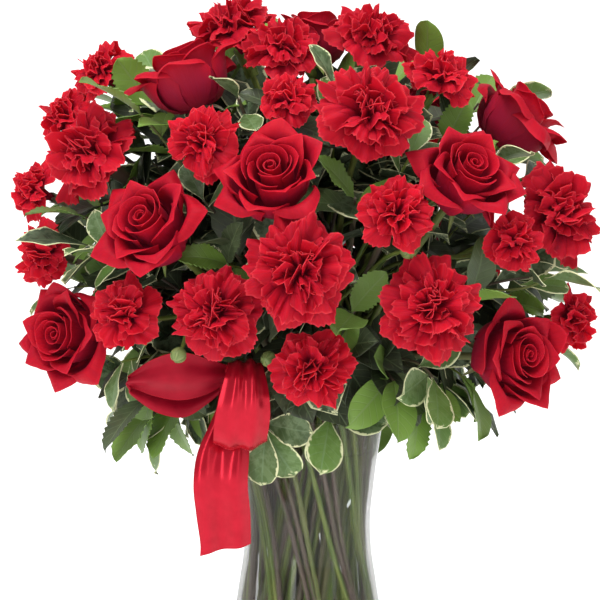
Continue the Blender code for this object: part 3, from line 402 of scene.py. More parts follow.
def stand_ends(stand):
    """The ends of a stand's straight line: at the vase's floor and at the bind."""
    return [lean_line(Vector(), *STANDS[stand], height) for height in (FOOT, BIND)]


def lean_line(middle, azimuth, ring, lean, height):
    """A line that leans round the waist at a ring's radius, and passes the bind at an azimuth."""
    drift = math.tan(math.radians(lean)) * (height - WAIST)
    at_bind = math.tan(math.radians(lean)) * (BIND - WAIST)
    start = math.radians(azimuth) - (math.atan2(at_bind, ring) if ring else 0)
    out = Vector((math.sin(start), -math.cos(start), 0))
    round_it = Vector((math.cos(start), math.sin(start), 0))
    level = middle + out * ring + round_it * (drift if ring else 0)
    return Vector((level.x, level.y, height))


def curve(start, leave, end, arrive, count):
    """Points of a smooth curve that leaves and arrives along the two given tangents."""
    made = []
    for t in (step / count for step in range(count + 1)):
        s = 1 - t
        middle = (start + leave) * 3 * s * s * t + (end - arrive) * 3 * s * t * t
        made.append(start * s ** 3 + middle + end * t ** 3)
    return made


def clear_curve(name, start, leave, end, arrive, radius, space, ignored, tip=()):
    """A curve that keeps clear of the other nodes, found by bending it a little more at each try.

    It comes as a function that gives its points for a number of steps.
    """
    draw = random.Random(name)
    span = (end - start).length
    best = None
    for attempt in range(TRIES):
        stray = STRAY * min(attempt / STRAY_TRIES, MOST_STRAY)
        bend, swing = (Vector((draw.uniform(-1, 1), draw.uniform(-1, 1), draw.uniform(LEAST_RISE, 1))) * stray
                       for _ in range(2))
        leads = (start, leave * span * START_PULL + bend, end, arrive * span * END_PULL + swing * END_STRAY)
        line = [*curve(*leads, STEM_STEPS), *(point for point, size in tip)]
        centres, sizes = stem_spheres(line, [radius] * (STEM_STEPS + 1) + [size for point, size in tip])
        points = np.array([tuple(point) for point in centres])
        room = space.room(points, ignored, np.array(sizes))
        past = past_vase(points, RIM_ROOM) - radius - STEM_GAP
        room = min([room, *past[past > -GLASS - 2 * (radius + STEM_GAP)]])
        if best is None or room > best[0]:
            best = (room, leads)
        if room > STEM_GAP:
            break
    return lambda steps: curve(*best[1], steps)


def stem_spheres(points, radii):
    """Spheres close together along a stem."""
    centres = []
    sizes = []
    for start, end, first, last in zip(points, points[1:], radii, radii[1:]):
        steps = max(1, int((end - start).length / SPHERE_STEP))
        for t in (step / steps for step in range(steps)):
            centres.append(start.lerp(end, t))
            sizes.append(first * (1 - t) + last * t)
    return centres, sizes


def sheaf_slots(stand, members):
    """The place in its sheaf that suits each stem, by the direction in which its head lies."""
    middle = stand_ends(stand)[1]
    turns = []
    for member in members:
        away = member[2] - middle
        turns.append((math.degrees(math.atan2(away.x, -away.y)) % 360, member))
    turns.sort(key=lambda turn: turn[0])
    step = 360 / len(turns)
    starts = [math.radians(turn - index * step) for index, (turn, member) in enumerate(turns)]
    shift = math.degrees(math.atan2(sum(map(math.sin, starts)), sum(map(math.cos, starts))))
    return [(shift + index * step, member) for index, (turn, member) in enumerate(turns)]


def leaf_lines(base, along, face, length, form):
    """A blade's left edge, rib and right edge at each station, and its tip."""
    side = along.cross(face).normalized()
    half = length * LEAF_ASPECT / 2
    rows = []
    for station, share in LEAF_FORMS[form]:
        rib = base + along * length * station - face * length * LEAF_DROOP * station ** 2
        lift = face * half * share * LEAF_CUP
        rows.append((rib - side * half * share + lift, rib, rib + side * half * share + lift))
    tip = base + along * length * LEAF_TIP - face * length * LEAF_DROOP
    return rows, tip


def leaf_samples(base, along, face, length, form):
    """Points all over a blade, apart from its stretch next to the joint."""
    rows, tip = leaf_lines(base, along, face, length, form)
    points = [tip]
    before = (base, base, base)
    for row in rows:
        for now, past in zip(row, before):
            points.append(now)
            points.append(now.lerp(past, 0.5))
        before = row
    points.append(tip.lerp(rows[-1][1], 0.5))
    return [point for point in points if (point - base).length > length * LEAF_FREE]


def clear_leaf(node, draw, joint, heading, length, form, splay, turn, space):
    """A leaf near the wanted place that keeps clear of other nodes: its base, direction, face and length."""
    side = across_of(heading)
    other = heading.cross(side)
    for attempt in range(LEAF_TRIES):
        angle = math.radians(turn + draw.uniform(-1, 1) * attempt * LEAF_STRAY)
        strayed = splay + draw.uniform(-1, 1) * attempt * SPLAY_STRAY
        open_by = math.radians(min(MOST_SPLAY, max(LEAST_SPLAY, strayed)))
        size = length * (1 - LEAF_SHRINK * attempt / LEAF_TRIES)
        out = side * math.cos(angle) + other * math.sin(angle)
        along = (heading * math.cos(open_by) + out * math.sin(open_by)).normalized()
        outward = Vector((joint.x, joint.y, joint.z - VASE_HEIGHT)).normalized()
        face = outward - along * outward.dot(along)
        if face.length < LEAST_SQUARE:
            face = across_of(along)
        face = face.normalized()
        base = joint + along * LEAF_SUNK
        samples = leaf_samples(base, along, face, size, form)
        points = np.array([tuple(point) for point in samples])
        outside = (past_vase(points, LEAF_RIM_ROOM) >= LEAF_VASE_ROOM).all()
        if outside and space.room(points, {node}, LEAF_SKIN) > LEAF_GAP:
            return base, along, face, size, samples
    return None


def ribbon_rows(table):
    """A stretch's rows: a hanging one lies level across, and one with a roll stands on its edge."""
    rows = []
    for across, up, nearer, share, *roll in table:
        if roll:
            lean = math.radians(roll[0])
            side = Vector((0, math.sin(lean), math.cos(lean)))
        else:
            side = Vector((1, RIBBON_TURN, 0)).normalized()
        rows.append((place(across, up, nearer), side, RIBBON_WIDTH * share))
    return rows


# The petals' middle lines as radius and height, in head radii, from the inmost petals to the outer ones
ROSE_PROFILES = (
    ((0.02, 0.00), (0.05, 0.20), (0.08, 0.50), (0.08, 0.80), (0.06, 1.00), (0.04, 1.06)),
    ((0.04, 0.00), (0.24, 0.10), (0.30, 0.45), (0.27, 0.80), (0.26, 1.00), (0.30, 1.14)),
    ((0.07, 0.00), (0.50, 0.00), (0.58, 0.45), (0.49, 0.82), (0.52, 1.04), (0.68, 1.10)),
    ((0.10, 0.00), (0.66, -0.02), (0.86, 0.38), (0.70, 0.78), (0.90, 1.02), (1.12, 0.70)),
)
PETAL_THICKNESS = 0.0004
UPRIGHT_END = ((0.84, 0.86), (0.98, 0.98))  # where an outer petal that doesn't roll back ends
FLARED_ROSES = ("rose_1", "rose_5")  # all their outer petals roll back
# Each layer of a rose: petals, and where it starts and ends between the heart and the outside
ROSE_LAYERS = ((5, 0.02, 0.22), (5, 0.36, 0.52), (5, 0.66, 0.80), (6, 0.90, 1.00))
ROSE_LEVELS = (0, 0.16, 0.34, 0.5, 0.64, 0.76, 0.86, 0.93, 0.975, 1)
ROSE_COLUMNS = 17
ROSE_HALF_WIDTH = ((0, 2.5), (0.2, 1.9), (0.45, 1.25), (0.75, 1.0), (1, 0.86))

CARNATION_PROFILES = (
    ((0.04, 0.00), (0.10, 0.46), (0.42, 0.62), (0.80, 0.58), (1.04, 0.34)),
    ((0.04, 0.00), (0.09, 0.50), (0.32, 0.76), (0.66, 0.90), (0.90, 0.70)),
    ((0.03, 0.00), (0.07, 0.46), (0.18, 0.80), (0.42, 1.06), (0.62, 0.96)),
    ((0.02, 0.00), (0.03, 0.40), (0.05, 0.70), (0.12, 0.98), (0.20, 1.06)),
)
# Each layer of a carnation: share of its petals, where it starts and ends, half width (radians), wave, twist
CARNATION_LAYERS = (
    (0.22, 0.00, 0.16, 0.48, 0.095, 0.25),
    (0.36, 0.24, 0.56, 0.40, 0.125, 0.70),
    (0.42, 0.60, 1.00, 0.36, 0.125, 1.25),
)
# Petals of a head, teeth of a petal, rows of points along it
CARNATION_KINDS = {"carnation": (37, 10, 8), "small_carnation": (26, 8, 6)}

# A blade's half width along its length
LEAF_OUTLINES = {
    "plain": ((0, 0.05), (0.06, 0.12), (0.16, 0.50), (0.30, 0.82), (0.50, 1.0), (0.70, 0.96), (0.86, 0.70),
              (0.95, 0.38), (1, 0)),
    "edged": ((0, 0.05), (0.08, 0.10), (0.24, 0.40), (0.42, 0.78), (0.60, 1.0), (0.76, 0.97), (0.89, 0.72),
              (0.96, 0.42), (1, 0)),
}
FILL_TWIGS = 27  # the twigs that each branch carries inside the bouquet, behind the blooms
FILL_LEAVES = 5
FILL_TURN = (-75, 75)  # the directions in which they point, from their branch's own and up from level
FILL_LIFT = (-38, 75)
FILL_REACH = (0.50, 0.66, 0.92)  # where they end, as shares of the bouquet: least, most when low, and most
FILL_LOW = -5.73  # a twig that points lower than this is a low one
FILL_HIGH = 28.65  # one that points higher starts higher up on its branch
FILL_START = (0.1, 0.9)
FILL_LENGTH = (0.040, 0.062)
FILL_SPLAY = (-12, 12)
FILL_PLAIN = 0.6  # the share of them with plain leaves
STAND_OUT = 0.004  # how far an added leaf may stand out of the box of the solids
BOUQUET_MIDDLE = Vector((-0.004, -0.004, 0.300))
BOUQUET_REACH = Vector((0.190, 0.150, 0.180))
# Shoots of the branches that stand in the water: azimuth, ring radius and lean. Some stand between the
# sheaves, and the others lean the other way along the glass.
WALL_RING = 0.0388
SHOOTS = (
    *((azimuth + shift, ring, OUTER[1])
      for azimuth in (-156, -114, -79, -46, -15, 15, 46, 79, 114, 156)
      for shift, ring in ((-2.5, 0.0262), (1.5, 0.0318))),
    *((azimuth, WALL_RING, lean) for azimuth, lean in zip(range(-180, 180, 12), (-12, -9.5, -14) * 10)),
)
SHOOT_RADIUS = 0.0020
MOST_OUTWARD = 0.006  # how far a shoot by the glass bends out from its straight line

# Twigs round the outside, between those of the table above. The place is that of the end leaf's middle.
OUTER_TWIGS = {
    "foliage_front_left": (
        (-128, 455, 12, -80, 50, 2, 52, "plain"), (-106, 424, 70, -50, 20, 2, 50, "plain"),
        (-114, 407, 40, -60, 20, 2, 48, "plain"), (-143, 377, 50, -40, 20, 2, 40, "plain"),
        (-190, 303, 14, -75, -5, 2, 44, "edged"), (-168, 316, 20, -60, 10, 2, 46, "plain"),
        (-155, 306, 36, -60, 0, 2, 44, "edged"), (-136, 262, 70, -50, -10, 2, 42, "edged"),
        (-120, 203, 70, -50, -45, 2, 54, "plain"), (-99, 207, 66, -40, -50, 2, 50, "plain"),
        (-108, 196, 54, -50, -60, 1, 46, "edged"), (-66, 446, 50, -20, 50, 2, 40, "plain"),
    ),
    "foliage_back_left": (
        (-117, 466, -20, -80, 55, 2, 46, "edged"), (-141, 440, -30, -90, 40, 2, 48, "plain"),
        (-147, 448, -60, -100, 40, 2, 46, "plain"), (-72, 470, -10, -60, 60, 2, 40, "plain"),
        (-186, 374, -20, -90, 20, 2, 44, "plain"), (-190, 326, -10, -95, 5, 1, 38, "edged"),
        (-58, 474, -36, -120, 60, 2, 42, "plain"),
    ),
    "foliage_right": (
        (120, 444, 10, 40, 40, 2, 46, "edged"), (138, 456, -30, 70, 50, 2, 48, "plain"),
        (150, 448, -50, 80, 45, 2, 44, "edged"), (118, 415, 50, 40, 20, 2, 42, "plain"),
        (170, 405, -16, 90, 25, 2, 46, "edged"), (172, 330, 24, 70, 10, 2, 44, "edged"),
        (184, 316, -6, 90, 0, 2, 36, "edged"), (162, 292, 20, 70, -5, 2, 46, "plain"),
        (180, 262, -10, 90, -20, 1, 40, "edged"),
    ),
    "foliage_back": (
        (26, 466, -44, 170, 70, 2, 46, "plain"), (62, 462, -52, 150, 60, 2, 44, "plain"),
        (40, 208, -62, 150, -45, 2, 48, "edged"), (8, 206, -70, 175, -50, 2, 48, "plain"),
        (-30, 208, -64, -155, -45, 2, 48, "edged"),
    ),
    "foliage_front_right": (
        (128, 222, 40, 50, -40, 2, 48, "plain"), (100, 214, 50, 40, -50, 2, 46, "edged"),
        (84, 208, 60, 30, -55, 2, 44, "plain"),
    ),
}

OUTER_SHORTER = 0.12  # how much shorter each leaf of theirs is than the one before
# How light the leaves are, from least to most: on a branch's own twigs, round the outside and inside. Those
# round the outside are painted lighter as if lit, and those inside painted darker as shade; within each range
# the tone differs at random.
LIGHTS, OUTER_LIT_TONES, INNER_SHADED_TONES = (0.45, 1.0), (0.85, 1.0), (0, 0.5)

FINE_STEPS, OUTER_STEPS, FILL_STEPS, SHOOT_STEPS = 24, 16, 12, 16
STEM_FACES, SHOOT_FACES, TWIG_FACES = 10, 8, 6
TWIG_TAPER, OUTER_TAPER, FILL_TAPER = 0.75, 0.7, 0.6
# Joints: how far apart they are, how much thicker a stem is there, and half the length of the swelling
SHEAF_JOINTS, SPRAY_JOINTS, SHOOT_JOINTS = (0.045, 0.062), 0.05, (0.03, 0.05)
ROSE_SWELL, CARNATION_SWELL, SPRAY_SWELL, SHOOT_SWELL = 0.16, 0.5, 0.4, 0.3
JOINT_LENGTH = 0.0022
SMOOTH_ANGLE = 70  # edges that turn by more degrees stay sharp


def ease(value):
    value = np.clip(value, 0, 1)
    return value * value * (3 - 2 * value)


def through(knots, at):
    """A smooth line through knots, read at an array of places."""
    x, y = np.array(knots, dtype=float).T
    slope = np.gradient(y, x)
    low = np.clip(np.searchsorted(x, at, side="right") - 1, 0, len(x) - 2)
    gap = x[low + 1] - x[low]
    u = (at - x[low]) / gap
    return ((1 + 2 * u) * (1 - u) ** 2 * y[low] + u * (1 - u) ** 2 * gap * slope[low]
            + u ** 2 * (3 - 2 * u) * y[low + 1] - u ** 2 * (1 - u) * gap * slope[low + 1])


def bezier(control, t):
    """Points of the curve that its control points pull on, for an array of t."""
    degree = len(control) - 1
    made = 0
    for index, point in enumerate(control):
        weight = math.comb(degree, index) * t ** index * (1 - t) ** (degree - index)
        made = made + weight[..., None] * np.array(point)
    return made


def blended(profiles, share):
    """The profile at a share of the way from the first one to the last."""
    at = share * (len(profiles) - 1)
    low = min(int(at), len(profiles) - 2)
    return np.array(profiles[low]) * (1 - at + low) + np.array(profiles[low + 1]) * (at - low)


class Piece:
    """A mesh that is gathered part by part, with a mark on each point for its finish to read."""

    def __init__(self, name):
        self.name = name
        self.points = []
        self.faces = []
        self.slots = []
        self.marks = []
        self.size = 0

    def add(self, points, faces, marks, *slots):
        """Adds points and blocks of faces, whose material slots are given for each block or once for all."""
        for index, block in enumerate(faces):
            self.faces.append(np.asarray(block) + self.size)
            self.slots.append(np.full(len(block), slots[min(index, len(slots) - 1)]))
        self.points.append(points)
        self.marks.append(np.stack(np.broadcast_arrays(*marks), -1).reshape(-1, 3))
        self.size += len(points)

    def make(self, finishes, nodes):
        """The finished piece, which stands for the given nodes."""
        mesh = bpy.data.meshes.new(self.name)
        corners = np.concatenate([block.ravel() for block in self.faces])
        counts = np.concatenate([np.full(len(block), block.shape[1]) for block in self.faces])
        mesh.vertices.add(self.size)
        mesh.vertices.foreach_set("co", np.concatenate(self.points).ravel())
        mesh.loops.add(len(corners))
        mesh.loops.foreach_set("vertex_index", corners)
        mesh.polygons.add(len(counts))
        mesh.polygons.foreach_set("loop_start", np.concatenate([[0], np.cumsum(counts)[:-1]]))
        mesh.polygons.foreach_set("material_index", np.concatenate(self.slots))
        mesh.update(calc_edges=True)
        mesh.attributes.new("mark", "FLOAT_VECTOR", "POINT").data.foreach_set(
            "vector", np.concatenate(self.marks).ravel())
        mesh.validate()
        mesh.shade_smooth()
        mesh.set_sharp_from_angle(angle=math.radians(SMOOTH_ANGLE))
        for finish in finishes:
            mesh.materials.append(finish)
        made = add_object(self.name, mesh)
        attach(made, "root")
        if nodes:
            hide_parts(*nodes)
        return made


def unit(vectors):
    return vectors / np.maximum(np.linalg.norm(vectors, axis=-1, keepdims=True), 1e-12)


def blade(piece, grid, thickness, marks, slot=0):
    """Adds a thin closed blade over a grid of points."""
    rows, columns = grid.shape[:2]
    half = unit(np.cross(np.gradient(grid, axis=1), np.gradient(grid, axis=0))) * thickness / 2
    index = np.arange(rows * columns).reshape(rows, columns)
    over = np.stack([index[:-1, :-1], index[:-1, 1:], index[1:, 1:], index[1:, :-1]], -1).reshape(-1, 4)
    under = over[:, ::-1] + rows * columns
    border = np.concatenate([index[0, :-1], index[:-1, -1], index[-1, :0:-1], index[:0:-1, 0]])
    after = np.roll(border, -1)
    rim = np.stack([after, border, border + rows * columns, after + rows * columns], -1)
    points = np.concatenate([(grid + half).reshape(-1, 3), (grid - half).reshape(-1, 3)])
    marks = [np.broadcast_to(mark, (rows, columns)).ravel() for mark in marks]
    piece.add(points, [over, under, rim], [np.concatenate([mark, mark]) for mark in marks], slot)


def ring_faces(levels, sides):
    """The wall between rings of points, and the flat faces that close it."""
    index = np.arange(levels * sides).reshape(levels, sides)
    after = np.roll(index, -1, axis=1)
    wall = np.stack([index[:-1], after[:-1], after[1:], index[1:]], -1).reshape(-1, 4)
    return [wall, index[:1, ::-1], index[-1:]]


def bar(piece, line, radii, sides, tone, slot=0):
    """Adds a round bar along a line, closed at both ends. Its mark is the place round it and along it."""
    line = np.array([tuple(point) for point in line])
    along = unit(np.gradient(line, axis=0))
    side = np.array(across_of(Vector(along[0])))
    rings = []
    angle = 2 * math.pi * np.arange(sides)[:, None] / sides
    for point, ahead, radius in zip(line, along, radii):
        side = unit(side - ahead * np.dot(side, ahead))
        rings.append(point + (side * np.cos(angle) + np.cross(ahead, side) * np.sin(angle)) * radius)
    marks = (np.arange(sides)[None, :] / sides, distances(line)[:, None], tone)
    piece.add(np.concatenate(rings), ring_faces(len(line), sides), marks, slot)


def revolved(piece, profile, wetted):
    """Adds a body turned round the upright axis from radius and height, whose ends lie close to the axis.

    The stretch of the profile that is wetted, from one row to another, takes the second material.
    """
    angle = 2 * math.pi * np.arange(VASE_SIDES)[None, :] / VASE_SIDES
    radius, height = (np.array(values)[:, None] for values in zip(*profile))
    points = np.stack(np.broadcast_arrays(radius * np.cos(angle), radius * np.sin(angle), height), -1)
    marks = (np.arange(VASE_SIDES)[None, :] / VASE_SIDES, height, 0.0)
    wall, *ends = ring_faces(len(profile), VASE_SIDES)
    first, last = (row * VASE_SIDES for row in wetted)
    piece.add(points.reshape(-1, 3), [wall[first:last], wall[:first], wall[last:], *ends], marks, 1, 0)


def in_frame(r, tangent, z, turn, base, frame, radius):
    """Places given outward, across and up from a petal's foot, set on a head's base and frame."""
    side, other, up = (np.array(direction) for direction in frame)
    outward = side * math.cos(turn) + other * math.sin(turn)
    across = other * math.cos(turn) - side * math.sin(turn)
    r, tangent, z = (value[..., None] * radius for value in np.broadcast_arrays(r, tangent, z))
    return np.array(base) + r * outward + tangent * across + z * up


def rose_head(piece, name, base, frame, radius):
    """Petals in a spiral: wound in the middle, then in looser layers, with wide and pointed ones outside."""
    draw = random.Random(name + " petals")
    opened = draw.uniform(0.92, 1.0)
    s = np.linspace(-1, 1, ROSE_COLUMNS)[None, :]
    t = np.array(ROSE_LEVELS)[:, None]
    side = np.abs(s)
    number = 0
    for petals, first, last in ROSE_LAYERS:
        for petal in range(petals):
            number += 1
            share = first + (last - first) * petal / (petals - 1)
            corner = float(ease((share - 0.35) / 0.45))
            outer = float(ease((share - 0.85) / 0.1))
            control = blended(ROSE_PROFILES, share)
            roll = 1 - outer * draw.choice((0, 0, 0.25, 0.6, 0.95)) * (name not in FLARED_ROSES)
            for index, end in zip((-2, -1), UPRIGHT_END):
                control[index] = control[index] * roll + np.array(end) * (1 - roll)
            reach = share ** 3 * draw.uniform(-0.10, 0.10)
            control[-1] += (reach, share ** 3 * draw.uniform(-0.16, 0.12) - reach)
            control[-2] += (share ** 2 * draw.uniform(-0.06, 0.03), share ** 2 * draw.uniform(-0.08, 0.06))
            control[:, 0] *= 1 - (1 - opened) * share
            half = float(through(ROSE_HALF_WIDTH, np.array(share))) * draw.uniform(0.90, 1.12)
            turn = math.radians(GOLDEN_TURN * number + draw.uniform(-12, 12))
            line = bezier(control, t * (1 - (0.08 + 0.20 * corner) * side ** 3.0))
            lean = 0.20 - 0.12 * share
            r = line[..., 0] * (1 + lean * s) * (1 - 0.27 * corner * side ** 1.0 * t ** 4)
            r = r + 0.11 * corner * roll * np.exp(-(s / 0.15) ** 2) * t ** 6
            r = r + 0.030 * ease((t - 0.86) / 0.14) * math.sqrt(share) * (1 - 0.4 * corner)
            wave = 0.035 * share * np.sin(draw.uniform(4, 9) * s + draw.uniform(0, 6)) * t ** 4
            fall = corner * draw.uniform(0.12, 0.36) * side ** 1.2 * t ** 5
            z = line[..., 1] - fall + wave + draw.uniform(-0.03, 0.03) * t
            angle = s * half * (0.62 + 0.38 * t)
            grid = in_frame(r * np.cos(angle), r * np.sin(angle), z, turn, base, frame, radius)
            blade(piece, grid, PETAL_THICKNESS, (s, t, draw.random()))


def carnation_head(piece, name, base, frame, radius, kind):
    """Ruffled fans with toothed edges, flat outside, and folded and turned on edge towards the middle."""
    petals, teeth, rows = CARNATION_KINDS[kind]
    draw = random.Random(name + " petals")
    columns = 2 * teeth + 1
    s = np.linspace(-1, 1, columns)[None, :]
    t = (np.linspace(0, 1, rows) ** 0.8)[:, None]
    side = np.abs(s)
    high = (np.arange(columns) % 2)[None, :]
    number = 0
    for portion, first, last, wide, wavy, twisted in CARNATION_LAYERS:
        count = round(petals * portion)
        for petal in range(count):
            number += 1
            inner = first + (last - first) * petal / (count - 1)
            control = blended(CARNATION_PROFILES, inner)
            control[1:, 1] += draw.uniform(-0.07, 0.07)
            control[-1] *= (draw.uniform(0.84, 1.06), draw.uniform(0.88, 1.08))
            turn = math.radians(GOLDEN_TURN * number + draw.uniform(-18, 18))
            half = wide * draw.uniform(0.84, 1.14)
            uneven = np.array([draw.uniform(0.4, 1.3) for _ in range(columns)])
            jag = ((0.036 - 0.010 * inner) * high * uneven - 0.016) * (t == 1)
            line = bezier(control, t * (1 - 0.14 * side ** 2.2) + jag)
            slope = unit(np.gradient(line, axis=0))
            bend = np.sin(draw.uniform(2.8, 5.5) * s + draw.uniform(0, 6.3)) * t ** 1.4
            frill = 0.62 * np.sin(draw.uniform(7.5, 12.0) * s + draw.uniform(0, 6.3)) * t ** 2.5
            fold = draw.choice((-1, 1)) * 0.26 * inner ** 1.5 * (side - 0.4) * t
            push = wavy * (bend + frill) + fold
            width = half * (0.10 + 0.90 * t ** 1.2) * s * (0.35 + 0.65 * (1 - 0.35 * inner))
            spin = draw.uniform(-twisted, twisted) * t
            across = width * np.cos(spin)
            push = push + width * np.sin(spin)
            arc = line[..., 0] - 0.42 * half * s ** 2 * t * (1 - 0.7 * inner) - slope[..., 1] * push
            z = line[..., 1] + slope[..., 0] * push
            sway = draw.uniform(-0.16, 0.16) * t * line[..., 0]
            grid = in_frame(arc, across + sway, z, turn, base, frame, radius)
            blade(piece, grid, PETAL_THICKNESS, (s, t, draw.random()))


def leaf(piece, base, along, face, length, form, draw, lights=LIGHTS, fine=True):
    """A cupped and drooping blade, with waves or teeth along its edge, lighter or darker by its draw within
    its range, which paints light on the outer leaves and shade on the inner ones.
    """
    base, along, face = (np.array(value) for value in (base, along, face))
    toothed = form == "plain" and fine and draw.random() < 0.5
    columns, rows = (9, 25 if toothed else 15) if fine else (5, 6)
    s = np.linspace(-1, 1, columns)[None, :]
    t = np.linspace(0, 1, rows)[:, None]
    half = length * LEAF_ASPECT / 2
    width = np.maximum(through(LEAF_OUTLINES[form], t), 0.012)
    if toothed:
        tooth = np.arange(rows)[:, None] % 2 * 2 - 1
        width = width * (1 + 0.09 * tooth * np.abs(s) ** 6 * (t > 0.2) * (t < 0.97))
    droop = LEAF_DROOP + draw.uniform(-0.08, 0.10)
    twist = draw.uniform(-0.25, 0.25) * t * s
    phase = draw.uniform(7.5, 16) * t + 1.6 * np.sign(s) + draw.uniform(0, 6)
    ripple = draw.uniform(0.03, 0.09) * np.sin(phase) * s ** 2 * width
    lift = LEAF_CUP * np.abs(s) ** 1.2 * width + ripple + twist
    sway = length * draw.uniform(-0.06, 0.06) * t ** 2
    rib = base + (along * t[..., None] - face * droop * t[..., None] ** 2) * length
    side = unit(np.cross(along, face)) * (s * half * width + sway)[..., None]
    grid = rib + side + face * (half * lift)[..., None]
    blade(piece, grid, LEAF_THICKNESS, (s, t, draw.uniform(*lights)), 1 if form == "plain" else 2)


def flower_stem(name, node, start, leave, head, radius, space, feet):
    """The points that a stem's solid runs through, and its fine line above the bundle."""
    base, azimuth, elevation, kind = head
    up = facing(azimuth, elevation)
    calyx = CALYXES[kind]
    end = base - up * (calyx[0][0] if calyx else -BUD_RADIUS / 2)
    tip = [(base - up * depth, size) for depth, size in calyx[1:]]
    way = clear_curve(name + " stem", start, leave, end, up, radius, space, {node, name}, tip)
    coarse = [*feet, *way(STEM_STEPS)]
    radii = [radius] * (len(coarse) - 1) + [calyx[0][1] if calyx else radius]
    for point, size in tip:
        radii.append(size)
    space.add(node, *stem_spheres([*coarse, *(point for point, size in tip)], radii))
    return coarse, way(FINE_STEPS)


def rising(foot, bind, fine):
    """A stem's fine line from the vase's floor to the bind, and on above it."""
    return [foot.lerp(bind, step / FINE_STEPS) for step in range(FINE_STEPS)] + fine


def distances(line):
    """How far along a line each of its points lies."""
    return np.concatenate([[0], np.cumsum(np.linalg.norm(np.diff(line, axis=0), axis=1))])


def noded(line, radius, every, swell):
    """Radii along a line, which swell at its joints."""
    far = distances([tuple(point) for point in line])
    return radius * (1 + swell * np.exp(-((far % every - every / 2) / JOINT_LENGTH) ** 2))


def teeth(piece, count, shift, radius, height, wide, t, base, frame, size, tone, slot=0):
    """Adds a ring of teeth that close to a point, from their radius, height and half width along them."""
    s = np.linspace(-1, 1, 5)[None, :]
    for tooth in range(count):
        angle = s * wide
        turn = 2 * math.pi * (tooth + shift) / count
        grid = in_frame(radius * np.cos(angle), radius * np.sin(angle), height, turn, base, frame, size)
        blade(piece, grid, PETAL_THICKNESS, (s, t, tone), slot)


def rose_calyx(piece, base, frame, draw, tone):
    """The hip under a rose and its five sepals, which bend down."""
    heights = (-0.0086, -0.0070, -0.0046, -0.0020, 0.0006)
    radii = (0.0034, 0.0046, 0.0062, 0.0068, 0.0060)
    bar(piece, [base + frame[2] * height for height in heights], radii, 14, tone)
    s = np.linspace(-1, 1, 5)[None, :]
    t = np.linspace(0, 1, 9)[:, None]
    for sepal in range(5):
        turn = 2 * math.pi * (sepal + draw.uniform(-0.1, 0.1)) / 5
        droop = draw.uniform(0.3, 0.9)
        r = 0.0052 + 0.018 * t - 0.002 * t ** 2
        z = -0.0006 - 0.002 * t - 0.012 * droop * t ** 2 + 0.001 * s ** 2
        grid = in_frame(r, 0.0032 * (1 - t) ** 0.7 * s, z, turn, base, frame, 1.0)
        blade(piece, grid, PETAL_THICKNESS, (s, t, tone))


def carnation_calyx(piece, base, frame, kind, tone):
    """The ribbed cup under a carnation, with five teeth round the petals and scales at its foot."""
    (depth, foot), (top, mouth) = CALYXES[kind]
    heights = (-depth, -depth * 0.92, -depth * 0.6, -depth * 0.25, -top)
    radii = (foot * 0.8, foot * 1.05, foot * 1.12, mouth * 1.02, mouth)
    bar(piece, [base + frame[2] * height for height in heights], radii, 15, tone)
    t = np.linspace(0, 1, 5)[:, None]
    for count, shift, radius, height, wide in (
        (5, 0, mouth * (1 + 0.10 * t), -top + mouth * 0.9 * t, 0.56 * (1 - t) ** 0.8),
        (4, 0.5, foot * (1.12 + 0.10 * t), -depth + foot * 1.3 * t, 0.75 * (1 - t) ** 0.7),
    ):
        teeth(piece, count, shift, radius, height, wide, t, base, frame, 1.0, tone)


def bud(piece, base, up, tone):
    """A round unopened bud, closed by its five calyx teeth."""
    profile = ((-0.1, 0.16), (0.05, 0.42), (0.3, 0.78), (0.7, 0.98), (1.15, 1.0), (1.6, 0.84), (1.95, 0.52),
               (2.2, 0.18), (2.27, 0.03))
    bar(piece, [base + up * BUD_RADIUS * height for height, share in profile],
        [BUD_RADIUS * share for height, share in profile], 20, tone, 1)
    side = across_of(up)
    t = np.linspace(0, 1, 7)[:, None]
    height = 1.1 + 1.17 * t
    teeth(piece, 5, 0, through(profile, height) + 0.05, height, 0.60 * (1 - t) ** 0.8, t, base,
          (side, up.cross(side), up), BUD_RADIUS, tone, 1)


def finish_head(piece, name, base, azimuth, elevation, kind, draw, tone):
    """What a stem carries under its bloom."""
    frame = head_frame(name, azimuth, elevation)
    if kind == "rose":
        rose_calyx(piece, base, frame, draw, tone)
    elif kind == "bud":
        bud(piece, base, frame[2], tone)
    else:
        carnation_calyx(piece, base, frame, kind, tone)


def sheaf(stand, members, finishes, space):
    """A sheaf of stems, which touch at the waist and part above the rim."""
    node = "stems_" + stand
    piece = Piece(node + "_grown")
    ring = SHEAF_PITCH / 2 / math.sin(math.pi / len(members))
    for slot, (name, home, base, azimuth, elevation, size, kind) in sheaf_slots(stand, members):
        radius, swell = (ROSE_STEM, ROSE_SWELL) if kind == "rose" else (CARNATION_STEM, CARNATION_SWELL)
        foot, bind = (lean_line(middle, slot, ring, SHEAF_LEAN, middle.z) for middle in stand_ends(stand))
        head = (base, azimuth, elevation, kind)
        coarse, fine = flower_stem(name, node, bind, (bind - foot).normalized(), head, radius, space, [foot])
        draw = random.Random(name + " looks")
        tone = draw.random()
        line = rising(foot, bind, fine)
        bar(piece, line, noded(line, radius, draw.uniform(*SHEAF_JOINTS), swell), STEM_FACES, tone)
        finish_head(piece, name, *head, draw, tone)
    return piece.make(finishes, [node])


